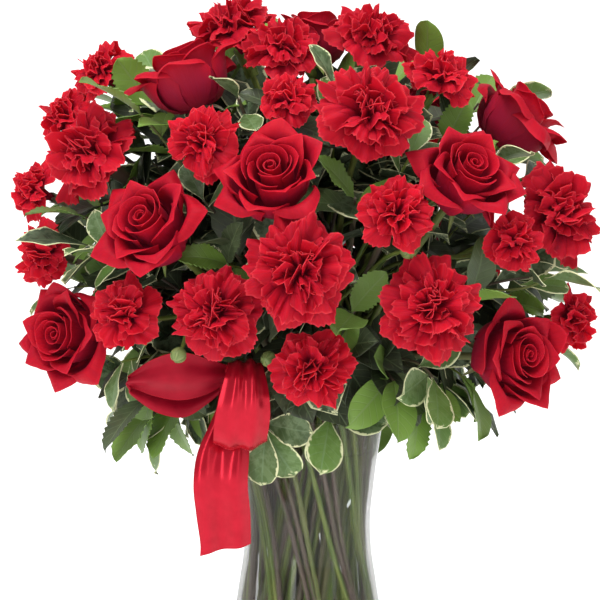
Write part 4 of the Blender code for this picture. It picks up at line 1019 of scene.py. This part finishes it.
def spray(stand, members, buds, finishes, space):
    """A branched stem with its small heads and unopened buds."""
    piece = Piece(stand + "_grown")
    foot, bind = stand_ends(stand)
    targets = [(name, (*row, kind)) for name, home, *row, size, kind in members]
    for index, (across, up, nearer, azimuth, elevation) in enumerate(buds):
        base = place(across, up, nearer) - facing(azimuth, elevation) * BUD_RADIUS
        targets.append((f"{stand} bud {index}", (base, azimuth, elevation, "bud")))
    trunk = None
    for index, (name, head) in enumerate(targets):
        draw = random.Random(name + " looks")
        tone = draw.random()
        if trunk is None:
            radius, along = BRANCH, (bind - foot).normalized()
            coarse, fine = flower_stem(name, stand, bind, along, head, radius, space, [foot])
            trunk = coarse[1:-1]
            line = rising(foot, bind, fine)
        else:
            fork = min(1 + (index - 1) % FORKS, len(trunk) - 2)
            along = (trunk[fork + 1] - trunk[fork]).normalized()
            radius = TWIG if head[3] == "bud" else SIDE_STEM
            coarse, line = flower_stem(name, stand, trunk[fork], along, head, radius, space, [])
        bar(piece, line, noded(line, radius, SPRAY_JOINTS, SPRAY_SWELL), STEM_FACES, tone)
        finish_head(piece, name, *head, draw, tone)
    return piece.make(finishes, [stand])


def parting(trunk, start, end, outward=TWIG_OUTWARD):
    """The direction in which a twig starts: along its trunk, and out towards its own end."""
    toward = Vector((end.x - start.x, end.y - start.y, 0)).normalized()
    return ((trunk[2] - trunk[1]).normalized() + toward * outward).normalized()


def branch(stand, rows, finishes, space, blooms):
    """A branch with its leafy twigs, and with more of them round the outside and inside the bouquet."""
    piece = Piece(stand + "_grown")
    foot, bind = stand_ends(stand)
    trunk = None
    draw = random.Random(stand)
    looks = random.Random(stand + " looks")
    order = sorted(rows, key=lambda row: -place(*row[:3]).z)
    for index, (across, up, nearer, azimuth, elevation, count, size, form) in enumerate(order):
        end = place(across, up, nearer)
        heading = facing(azimuth, elevation)
        if trunk is None:
            start, begin, radius, feet = bind, (bind - foot).normalized(), BRANCH, [foot]
        else:
            start = trunk[1 if elevation > 0 else 0]
            begin, radius, feet = parting(trunk, start, end), TWIG, []
        way = clear_curve(f"{stand} twig {index}", start, begin, end, heading, radius, space, {stand})
        line, fine = way(STEM_STEPS), way(FINE_STEPS)
        points = [*feet, *line]
        radii = [radius] * len(points)
        taper = np.linspace(1, TWIG_TAPER, len(fine)) * radius
        if trunk is None:
            radii[-3:] = [*(BRANCH * share for share in BRANCH_TAPER), TWIG]
            trunk = line
            fine = rising(foot, bind, fine)
            taper = np.linspace(BRANCH, TWIG, len(fine))
        bar(piece, fine, taper, STEM_FACES, looks.random())
        space.add(stand, *stem_spheres(points, radii))
        for number in range(count):
            joint, splay, turn = end - heading * TWIG, TIP_SPLAY, 0
            if number:
                joint = line[-1].lerp(line[-2], number / count * LEAVES_SPREAD)
                splay = FIRST_SPLAY + SPLAY_STEP * (number - 1)
                turn = GOLDEN_TURN * number + TWIG_TURN * index
            length = size * MM * (1 - LEAF_SHORTER * number)
            found = clear_leaf(stand, draw, joint, heading, length, form, splay, turn, space)
            if found:
                space.add(stand + " leaves", found[4], [LEAF_ROOM] * len(found[4]))
                leaf(piece, *found[:4], form, looks)
    outer_twigs(piece, stand, trunk, looks, blooms)
    fill(piece, stand, trunk, looks, blooms)
    return piece.make(finishes, [stand])


def by_the_glass(point):
    """The point of a shoot moved out as far as the glass lets it."""
    radius = math.hypot(point.x, point.y)
    wall = vase_wall(GLASS)(min(point.z, VASE_HEIGHT))
    reach = min(wall - SHOOT_RADIUS - 2 * SEAT, radius + MOST_OUTWARD)
    return Vector((point.x * reach / radius, point.y * reach / radius, point.z))


def within_box(point):
    """Whether a leaf's tip stays about inside the box of the solids."""
    return all(low - STAND_OUT < part < high + STAND_OUT for part, low, high in zip(point, *CAD_BOX))


def grow_leaf(piece, stand, draw, joint, heading, length, form, splay, turn, blooms, lights, fine=True):
    """Adds a leaf where it finds a clear place."""
    found = clear_leaf(stand, draw, joint, heading, length, form, splay, turn, blooms)
    if found and within_box(found[0] + found[1] * found[3]):
        leaf(piece, *found[:4], form, draw, lights, fine)


def outer_twigs(piece, stand, trunk, draw, blooms):
    """Leafy twigs round the outside, in the places that the table of the stems leaves open."""
    for index, (across, up, nearer, azimuth, elevation, count, size, form) in enumerate(OUTER_TWIGS[stand]):
        heading = facing(azimuth, elevation)
        end = place(across, up, nearer) - heading * size * MM / 2
        start = trunk[1 if elevation > 0 else 0]
        begin = parting(trunk, start, end)
        name = f"{stand} outer twig {index}"
        line = clear_curve(name, start, begin, end, heading, TWIG, blooms, set())(OUTER_STEPS)
        bar(piece, line, np.linspace(TWIG, TWIG * OUTER_TAPER, len(line)), TWIG_FACES, draw.random())
        for number in range(count):
            length = size * MM * (1 - OUTER_SHORTER * number)
            splay = FIRST_SPLAY if number else TIP_SPLAY
            turn = GOLDEN_TURN * number + TWIG_TURN * index
            # Painted light: these outer leaves take the lighter tones.
            grow_leaf(piece, stand, draw, line[-1 - number], heading, length, form, splay, turn, blooms,
                      OUTER_LIT_TONES)


def apart(azimuth, stand):
    """How many degrees lie between an azimuth and a stand's."""
    return abs((azimuth - STANDS[stand][0] + 180) % 360 - 180)


def own_shoots(stand):
    """The shoots that stand nearer to a branch than to the others, and nearest first."""
    own = [shoot for shoot in SHOOTS if min(sorted(TWIGS), key=lambda other: apart(shoot[0], other)) == stand]
    return sorted(own, key=lambda shoot: apart(shoot[0], stand))


def fill(piece, stand, trunk, draw, blooms):
    """Leafy twigs inside the bouquet, clear of the blooms. The first ones are shoots from the water."""
    shoots = own_shoots(stand)
    for twig in range(FILL_TWIGS):
        azimuth = STANDS[stand][0] + draw.uniform(*FILL_TURN)
        elevation = draw.uniform(*FILL_LIFT)
        least, low_most, most = FILL_REACH
        reach = draw.uniform(least, low_most if elevation < FILL_LOW else most)
        heading = facing(azimuth, elevation)
        end = BOUQUET_MIDDLE + Vector(part * size * reach for part, size in zip(heading, BOUQUET_REACH))
        low = 0 if elevation < FILL_HIGH else 1
        start = trunk[low].lerp(trunk[low + 1], draw.uniform(*FILL_START))
        begin = parting(trunk, start, end, 1)
        feet = []
        if twig < len(shoots):
            heights = (FOOT + (BIND - FOOT) * step / SHOOT_STEPS for step in range(SHOOT_STEPS + 1))
            feet = [lean_line(Vector(), *shoots[twig], height) for height in heights]
            if shoots[twig][1] == WALL_RING:
                feet = [by_the_glass(point) for point in feet]
            start = feet.pop()
            begin = (start - feet[-1]).normalized()
        name = f"{stand} inner twig {twig}"
        line = clear_curve(name, start, begin, end, heading, TWIG, blooms, set())(FILL_STEPS)
        thick = SHOOT_RADIUS if feet else TWIG
        radii = [thick] * len(feet) + list(np.linspace(thick, TWIG * FILL_TAPER, len(line)))
        if feet:
            radii = radii * noded([*feet, *line], 1, draw.uniform(*SHOOT_JOINTS), SHOOT_SWELL)
        bar(piece, [*feet, *line], radii, SHOOT_FACES if feet else TWIG_FACES, draw.random())
        form = "plain" if draw.random() < FILL_PLAIN else "edged"
        for number in range(FILL_LEAVES):
            splay = FIRST_SPLAY + draw.uniform(*FILL_SPLAY) if number else TIP_SPLAY
            # Painted shade: these leaves inside the bouquet take the darker tones.
            grow_leaf(piece, stand, draw, line[-1 - number], heading, draw.uniform(*FILL_LENGTH), form, splay,
                      GOLDEN_TURN * number, blooms, INNER_SHADED_TONES, False)


def smooth_rows(values, at):
    """A smooth line through evenly spaced rows of numbers, read at an array of shares of its length."""
    values = np.array([tuple(value) for value in values])
    knots = np.arange(len(values))
    return np.stack([through(list(zip(knots, column)), at * (len(values) - 1)) for column in values.T], -1)


def ribbon(name, table, slot_finish, waves, phase, pleat, bulge, cut=None, rolls=0.0):
    """A stretch of ribbon along its rows, gathered into waves where it shows narrower than it is."""
    middles, sides, widths = zip(*ribbon_rows(table))
    u = np.linspace(-1, 1, RIBBON_COLUMNS)
    run = np.ones(RIBBON_COLUMNS) if cut is None else cut(u)
    v, u = np.broadcast_arrays(np.linspace(0, 1, 7 * len(table))[:, None] * run, u)
    middle = smooth_rows(middles, v)
    across = unit(smooth_rows(sides, v))
    share = smooth_rows([(width / RIBBON_WIDTH,) for width in widths], v)[..., 0].clip(0.15, 1)
    ahead = smooth_rows(middles, (v + 0.004).clip(0, 1)) - smooth_rows(middles, (v - 0.004).clip(0, 1))
    depth = 0.34 * RIBBON_WIDTH * np.minimum(1.14 - share, pleat) / waves
    roll = 0.0028 * np.sin(2 * math.pi * rolls * v)
    lift = depth * np.cos(math.pi * waves * u + phase) + 0.0009 * np.cos(1.6 * math.pi * u + 0.6) + roll
    lift = lift - bulge * (1 - u ** 2) * np.sin(math.pi * v)
    lifted = unit(np.cross(across, ahead)) * lift[..., None]
    grid = middle + across * (u * RIBBON_WIDTH / 2 * share)[..., None] + lifted
    length = float(distances(middle[:, RIBBON_COLUMNS // 2])[-1])
    piece = Piece(name)
    blade(piece, grid, SATIN_THICKNESS, (u, v * length, 0.5))
    made = piece.make([slot_finish], [])
    return made


class Finish:
    """A Principled material whose colours and relief come from nodes."""

    def __init__(self, name):
        self.material = bpy.data.materials.new(name)
        self.material.use_nodes = True
        self.tree = self.material.node_tree
        self.shader = self.tree.nodes["Principled BSDF"]

    def put(self, socket, value):
        if isinstance(value, bpy.types.NodeSocket):
            self.tree.links.new(value, socket)
        elif isinstance(value, tuple) and socket.type == "RGBA":
            socket.default_value = (*value, 1)
        else:
            socket.default_value = value

    def node(self, kind, values=(), **settings):
        """A new node, with values or links for its sockets in their order, or by name or number."""
        made = self.tree.nodes.new("ShaderNode" + kind)
        for key, value in settings.items():
            setattr(made, key, value)
        for key, value in values.items() if isinstance(values, dict) else enumerate(values):
            self.put(made.inputs[key], value)
        return made

    def math(self, operation, *values):
        return self.node("Math", values, operation=operation).outputs[0]

    def times(self, first, second):
        return self.math("MULTIPLY", first, second)

    def minus(self, first, second):
        return self.math("SUBTRACT", first, second)

    def span(self, value, low, high, to_low=0.0, to_high=1.0):
        """A value taken smoothly from one range to another."""
        values = (value, low, high, to_low, to_high)
        return self.node("MapRange", values, interpolation_type="SMOOTHSTEP").outputs[0]

    def mix(self, share, first, second):
        return self.node("Mix", {0: share, 6: first, 7: second}, data_type="RGBA").outputs[2]

    def marks(self):
        """The mark's three numbers: across, along and one for each petal, leaf or stem."""
        mark = self.node("Attribute", attribute_name="mark").outputs["Vector"]
        return self.node("SeparateXYZ", (mark,)).outputs

    def grain(self, factors, *settings):
        """Noise that is read at the marks, each times its factor."""
        parts = [self.times(mark, factor) for mark, factor in zip(self.marks(), factors)]
        return self.noise(self.node("CombineXYZ", parts).outputs[0], *settings)

    def cloud(self, *settings):
        return self.noise(self.node("TexCoord").outputs["Object"], *settings)

    def noise(self, vector, scale, detail=3.0, roughness=0.5):
        values = {"Vector": vector, "Scale": scale, "Detail": detail, "Roughness": roughness}
        return self.node("TexNoise", values).outputs["Fac"]

    def veins(self, across, along, count, slant):
        """The share of a vein at each point: the rib and the side veins that slant from it."""
        side = self.math("ABSOLUTE", across)
        run = self.minus(self.times(along, count), self.times(side, slant))
        near = self.math("ABSOLUTE", self.minus(self.math("FRACT", run), 0.5))
        branches = self.times(self.span(near, 0.02, 0.09, 1.0, 0.0), 0.55)
        return self.math("MAXIMUM", self.span(side, 0.03, 0.075, 1.0, 0.0), branches), side

    def bump(self, height, strength, distance):
        made = self.node("Bump", {"Strength": strength, "Distance": distance, "Height": height})
        self.put(self.shader.inputs["Normal"], made.outputs[0])

    def set(self, **values):
        for key, value in values.items():
            self.put(self.shader.inputs[key.replace("_", " ")], value)
        return self.material


def petal_finish(name, deep_tone_and_shade, face, edge, streak, through_share):
    """Velvet petals: darker at the foot as painted shade, streaked, and lighter at the rim as a painted
    highlight. Some light goes through them, and a faint red glow is painted on them.
    """
    made = Finish(name)
    across, along, each = made.marks()
    # Painted shade: each petal darkens towards its foot, deep in the head.
    body = made.mix(made.span(along, 0.35, 0.9), deep_tone_and_shade, face)
    streaks = made.grain((16.0, 2.0, 40.0), 1.0)
    body = made.mix(made.times(made.span(streaks, 0.35, 0.75), 0.45), body, streak)
    # Painted highlight: each petal lightens at its rim.
    body = made.mix(made.times(made.span(along, 0.955, 1.0), 0.6), body, edge)
    # A random darker tone for each petal.
    body = made.mix(made.times(each, 0.18), body, deep_tone_and_shade)
    made.bump(streaks, 0.35, 0.0006)
    # The weak red emission is a painted glow that lifts the petals' shade.
    return made.set(Base_Color=body, Roughness=0.6, Specular_IOR_Level=0.1, Sheen_Weight=0.03,
                    Sheen_Roughness=0.4, Sheen_Tint=(1.0, 0.25, 0.32), Subsurface_Weight=through_share,
                    Subsurface_Radius=(1.0, 0.12, 0.12), Subsurface_Scale=0.0022,
                    Emission_Color=(1.0, 0.06, 0.16), Emission_Strength=0.012)


def plain_leaf_finish():
    """Dark and lighter green, with pale veins. How far a leaf goes to the lighter green is partly random
    tone, and partly painted light round the outside and painted shade inside the bouquet.
    """
    made = Finish("plain_leaf")
    across, along, each = made.marks()
    vein, side = made.veins(across, along, 8.0, 1.7)
    cloud = made.cloud(90.0)
    body = made.mix(made.span(cloud, 0.3, 0.7), (0.040, 0.050, 0.030), (0.060, 0.078, 0.040))
    # The mark moves a leaf towards the lighter green: random tone, with painted light on outer leaves and
    # painted shade on inner ones.
    body = made.mix(made.span(each, 0.40, 1.0), body, (0.160, 0.278, 0.046))
    body = made.mix(made.times(vein, 0.35), body, (0.20, 0.27, 0.12))
    made.bump(made.minus(made.times(cloud, 0.3), vein), 0.4, 0.0006)
    return made.set(Base_Color=body, Roughness=0.40, Specular_IOR_Level=0.30)


def edged_leaf_finish():
    """Grey-green blotches inside an uneven cream edge."""
    made = Finish("edged_leaf")
    across, along, each = made.marks()
    vein, side = made.veins(across, along, 7.0, 1.5)
    blotch = made.cloud(160.0, 4.0, 0.6)
    uneven = made.grain((2.0, 9.0, 30.0), 1.6, 4.0, 0.65)
    body = made.mix(made.span(blotch, 0.42, 0.56), (0.044, 0.068, 0.032), (0.108, 0.146, 0.080))
    # The mark moves a leaf towards the lighter green: random tone, with painted light on outer leaves and
    # painted shade on inner ones.
    body = made.mix(made.span(each, 0.35, 1.0, 0.0, 0.7), body, (0.140, 0.265, 0.045))
    body = made.mix(made.times(vein, 0.3), body, (0.20, 0.30, 0.16))
    rim = made.math("ADD", side, made.times(made.minus(uneven, 0.5), 0.45))
    tip = made.math("ADD", along, made.times(made.minus(uneven, 0.66), 0.5))
    body = made.mix(made.span(made.math("MAXIMUM", rim, tip), 0.87, 0.93), body, (0.70, 0.72, 0.42))
    made.bump(made.minus(made.times(blotch, 0.3), vein), 0.35, 0.0005)
    return made.set(Base_Color=body, Roughness=0.42, Specular_IOR_Level=0.32)


def stem_finish(name, fresh, olive, brown):
    """Streaked green, and brown on some stems."""
    made = Finish(name)
    across, along, each = made.marks()
    streak = made.grain((9.0, 30.0, 50.0), 1.0, 4.0)
    body = made.mix(made.span(streak, 0.3, 0.7), fresh, olive)
    body = made.mix(made.times(made.span(each, 0.35, 0.80), made.span(streak, 0.2, 0.5)), body, brown)
    made.bump(streak, 0.3, 0.0005)
    return made.set(Base_Color=body, Roughness=0.45, Specular_IOR_Level=0.4)


def satin_finish(name, dark, light, roughness, gloss, metallic):
    """Red satin: fine threads across it, glossy along them."""
    made = Finish(name)
    across, along, each = made.marks()
    spot = made.node("CombineXYZ", (made.times(along, 900.0),)).outputs[0]
    weave = made.node("TexWave", {"Vector": spot, "Scale": 1.0}, bands_direction="X")
    body = made.mix(made.span(made.grain((1.0, 60.0, 0.0), 2.0), 0.3, 0.7), dark, light)
    selvedge = made.span(made.math("ABSOLUTE", across), 0.955, 0.975)
    body = made.mix(made.times(selvedge, 0.5), body, (0.34, 0.002, 0.010))
    made.bump(weave.outputs["Fac"], 0.05, 0.0001)
    return made.set(Base_Color=body, Roughness=roughness, Specular_IOR_Level=gloss,
                    Specular_Tint=(1.0, 0.25, 0.28), Metallic=metallic,
                    Sheen_Weight=0.05, Sheen_Tint=(1.0, 0.3, 0.35), Anisotropic=0.5)


def glass_finish(name, tint, index, alpha, edge=None, firm=None):
    """Clear glass or water, which can look firmer and deeper in colour where it is seen edge on."""
    made = Finish(name)
    made.bump(made.cloud(30.0, 2.0), 0.02, 0.0004)
    if edge:
        facing_away = made.node("LayerWeight", {"Blend": 0.35}).outputs["Facing"]
        tint = made.mix(made.span(facing_away, 0.24, 0.54), tint, edge)
        alpha = made.span(facing_away, 0.42, 0.90, alpha, firm)
    return made.set(Base_Color=tint, Roughness=0.0, IOR=index, Transmission_Weight=1.0, Alpha=alpha)


def vase_wall(inset):
    """The vase's radius by height, moved in by the inset."""
    knots = [(height, radius) for radius, height in VASE_PROFILE]
    return lambda height: through(knots, height) - inset


def build_vase(finish, inner_face):
    """The glass, from the middle of its foot up the outside, over the rim and down the inside."""
    outer, inner = vase_wall(0), vase_wall(GLASS)
    top = VASE_HEIGHT
    rise = np.linspace(0.004, top - 0.0012, 32)
    fall = np.linspace(top - 0.0012, VASE_FLOOR + 0.003, 32)
    foot = ((0.0005, 0.0020), (0.030, 0.0020), (0.040, 0.0012), (0.0445, 0.0), (0.0490, 0.0),
            (0.0512, 0.0012))
    rim = ((outer(top) - 0.0006, top - 0.0002), (outer(top) - 0.0015, top),
           (inner(top) + 0.0006, top - 0.0002))
    floor = ((inner(VASE_FLOOR) - 0.002, VASE_FLOOR + 0.0006), (0.042, VASE_FLOOR), (0.0005, VASE_FLOOR))
    profile = [*foot, *zip(outer(rise), rise), *rim, *zip(inner(fall), fall), *floor]
    piece = Piece("vase_glass")
    revolved(piece, profile, (len(foot) + len(rise) + len(rim), len(profile) - 1))
    return piece.make([finish, inner_face], ["vase"])


def build_water(finish, inner_face):
    """The water, whose skin lies a little within the glass, so that no film of air shines between them."""
    wall = vase_wall(GLASS - WATER_OVERLAP)
    rise = np.linspace(VASE_FLOOR + 0.004, WATER_LEVEL, 28)
    floor = VASE_FLOOR - WATER_OVERLAP
    foot = ((0.0005, floor), (0.042, floor), (wall(FOOT) - 0.002, floor + 0.0006))
    edge = wall(WATER_LEVEL)
    top = ((edge - 0.0012, WATER_LEVEL - 0.0008), (edge - 0.004, WATER_LEVEL - 0.0013),
           (0.0005, WATER_LEVEL - 0.0014))
    piece = Piece("water_body")
    revolved(piece, [*foot, *zip(wall(rise), rise), *top], (0, len(foot) + len(rise) - 1))
    return piece.make([finish, inner_face], ["water"])


def tail_cut(u):
    """How far along the tail each thread of the width runs: the cut is a slanting curve."""
    return 1 - 0.115 * ((u + 1) / 2) ** 0.75


def build_bow(satin, reverse_in_shade, wire, space):
    """The ribbon's stretches and the wired pick that holds them."""
    node = "bow_ribbon"
    for table in (SIDE_LOOP, FRONT_LOOP, TAIL):
        rows = ribbon_rows(table)
        if table is TAIL:
            middle, side, width = rows[-1]
            rows[-1] = (middle, (side + Vector((0, 0, TAIL_SLANT))).normalized(), width * TAIL_END_WIDER)
        for middle, across, width in rows:
            for share in RIBBON_SHARES:
                space.add(node, [middle + across * width * share], [RIBBON_ROOM])
    # The side loop takes the reverse, whose darker colour is painted shade.
    ribbon("ribbon_side_loop", SIDE_LOOP, reverse_in_shade, 1.0, 0.0, 0.16, 0.003)
    ribbon("ribbon_front_loop", FRONT_LOOP_LINE, satin, 2.7, 0.16, 0.20, 0.006)
    ribbon("ribbon_tail", TAIL_FINE, satin, 1.5, 0.6, 0.26, 0.003, tail_cut, 1.3)
    back, knot, front = (place(*map(sum, zip(KNOT, shift))) for shift in (KNOT_BACK, (0, 0, 0), KNOT_FRONT))
    piece = Piece("ribbon_knot")
    line = curve(back, (knot - back) * KNOT_PULL, front, (front - knot) * KNOT_PULL, 16)
    radii = KNOT_RADIUS + KNOT_PUFF * np.sin(np.linspace(0.15, math.pi - 0.15, len(line)))
    bar(piece, line, radii, 28, 0.5)
    piece.make([satin], [node])
    foot, bind = (lean_line(Vector(), *PICK_STAND, height) for height in (FOOT, BIND))
    arrive = (front - back).normalized()
    way = clear_curve(PICK, bind, (bind - foot).normalized(), back - arrive * SEAT, arrive, PICK_RADIUS,
                      space, {PICK, node})
    points = [foot, *way(STEM_STEPS)]
    space.add(PICK, *stem_spheres(points, [PICK_RADIUS] * len(points)))
    line = [foot, *way(FINE_STEPS)]
    piece = Piece("pick_stem")
    bar(piece, line, [PICK_RADIUS] * len(line), STEM_FACES, 0.2)
    return piece.make([wire], [PICK])


def build_heads(all_heads, finishes, space):
    """The petals of every head."""
    for name, stand, base, azimuth, elevation, radius, kind in all_heads:
        frame = head_frame(name, azimuth, elevation)
        piece = Piece(name + "_petals")
        if kind == "rose":
            rose_head(piece, name, base, frame, radius)
        else:
            carnation_head(piece, name, base, frame, radius, kind)
        piece.make([finishes[kind]], [name])
        space.add(name, *head_spheres(base, frame, radius, *HEADS[kind][2]))


def build():
    """Every piece: first the heads and the bow, then the stems that find their way between them."""
    # Each kind of petal: its colours for painted shade at the foot, the face, painted highlight at the rim
    # and the streaks, then the share of light that goes through.
    petals = {
        "rose": petal_finish("rose_velvet", (0.23, 0.006, 0.026), (0.41, 0.003, 0.013), (0.53, 0.010, 0.026),
                             (0.28, 0.002, 0.014), 0.3),
        "carnation": petal_finish("carnation_red", (0.20, 0.004, 0.018), (0.45, 0.004, 0.015),
                                  (0.64, 0.042, 0.056), (0.28, 0.002, 0.014), 0.5),
        "small_carnation": petal_finish("small_carnation_red", (0.20, 0.004, 0.018), (0.52, 0.005, 0.017),
                                        (0.70, 0.048, 0.062), (0.32, 0.002, 0.014), 0.6),
    }
    space = Space()
    all_heads = heads()
    build_heads(all_heads, petals, space)
    satin = satin_finish("ribbon_satin", (0.38, 0.004, 0.016), (0.44, 0.006, 0.021), 0.20, 1.0, 0.48)
    # The ribbon's reverse: matte and less glossy, and darker as painted shade.
    reverse_in_shade = satin_finish("ribbon_reverse_in_shade", (0.24, 0.002, 0.012), (0.29, 0.003, 0.015), 0.45, 0.4, 0.0)
    wire = stem_finish("pick_green", (0.03, 0.10, 0.03), (0.04, 0.13, 0.04), (0.03, 0.08, 0.03))
    build_bow(satin, reverse_in_shade, wire, space)
    blooms = Space()
    blooms.centres, blooms.radii, blooms.owners = space.centres, space.radii, space.owners
    shift, size = BOW_FRONT
    for table in (SIDE_LOOP, FRONT_LOOP, TAIL):
        front = [middle + shift for middle, across, width in ribbon_rows(table)]
        blooms.add("bow_front", front, [size] * len(front))
    stem = stem_finish("stem_green", (0.085, 0.155, 0.025), (0.21, 0.24, 0.050), (0.115, 0.080, 0.060))
    bud_green = stem_finish("bud_green", (0.11, 0.17, 0.045), (0.22, 0.27, 0.09), (0.08, 0.13, 0.035))
    leaves = [stem, plain_leaf_finish(), edged_leaf_finish()]
    for stand in STANDS:
        members = [head for head in all_heads if head[1] == stand]
        if stand in TWIGS:
            branch(stand, TWIGS[stand], leaves, space, blooms)
        elif stand.startswith("spray"):
            spray(stand, members, BUDS.get(stand, ()), [stem, bud_green], space)
        else:
            sheaf(stand, members, [stem], space)
    # Where water wets the glass, the face between them hardly shows.
    inner_face = glass_finish("wetted_glass", (0.92, 0.97, 0.96), 1.12, 0.03)
    glass = glass_finish("clear_glass", (0.86, 0.92, 0.94), 1.45, 0.5, (0.22, 0.29, 0.34), 0.95)
    water = glass_finish("water", (0.97, 0.99, 0.98), 1.33, 0.4, (0.90, 0.95, 0.95), 0.8)
    build_vase(glass, inner_face)
    build_water(water, inner_face)


def add_object(name, data):
    made = bpy.data.objects.new(name, data)
    bpy.context.scene.collection.objects.link(made)
    return made


def build_stage():
    """The pale floor."""
    made = Finish("floor_white")
    made.set(Base_Color=(0.97, 0.97, 0.97), Roughness=0.9, Specular_IOR_Level=0.1,
             Emission_Color=(1.0, 1.0, 1.0), Emission_Strength=0.45)
    mesh = bpy.data.meshes.new("floor")
    mesh.from_pydata([(-30, -30, 0), (30, -30, 0), (30, 30, 0), (-30, 30, 0)], [], [(0, 1, 2, 3)])
    mesh.materials.append(made.material)
    floor = add_object("floor", mesh)


def area_light(name, place_at, aim, power, width, height):
    light = bpy.data.lights.new(name, "AREA")
    light.shape = "RECTANGLE"
    light.energy, light.size, light.size_y = power, width, height
    lamp = add_object(name, light)
    lamp.location = place_at
    lamp.rotation_euler = (Vector(aim) - lamp.location).to_track_quat("-Z", "Y").to_euler()


def build_studio():
    """Soft daylight from the left and above, and the camera at the photo's angle."""
    scene = bpy.context.scene
    scene.view_settings.view_transform = "Standard"
    scene.world = bpy.data.worlds.new("studio")
    scene.world.use_nodes = True
    background = scene.world.node_tree.nodes["Background"]
    background.inputs["Color"].default_value = (1, 1, 1, 1)
    background.inputs["Strength"].default_value = 0.55
    sun = bpy.data.lights.new("key", "SUN")
    sun.energy = 1.25
    sun.angle = math.radians(26)
    add_object("key", sun).rotation_euler = Vector((0.7, 1.1, -2.1)).to_track_quat("-Z", "Y").to_euler()
    area_light("side", (1.3, -1.3, 0.75), (0, 0, 0.25), 3, 0.25, 1.8)
    area_light("window", (-0.85, -1.9, 0.75), (0, 0, 0.22), 15, 0.35, 2.2)
    area_light("top", (0, -0.3, 1.35), (0, 0, 0.4), 8, 0.7, 0.7)
    tilt = math.radians(VIEW_TILT)
    camera = bpy.data.cameras.new("camera")
    camera.sensor_width = 36
    camera.lens = camera.sensor_width * VIEW_DISTANCE / VIEW_WIDTH
    seat = add_object("camera", camera)
    look = Vector((0, math.cos(tilt), -math.sin(tilt)))
    seat.location = Vector((AIM_ACROSS, 0, AIM_UP)) - look * VIEW_DISTANCE
    seat.rotation_euler = (math.pi / 2 - tilt, 0, 0)
    scene.camera = seat


build_studio()
build_stage()
build()
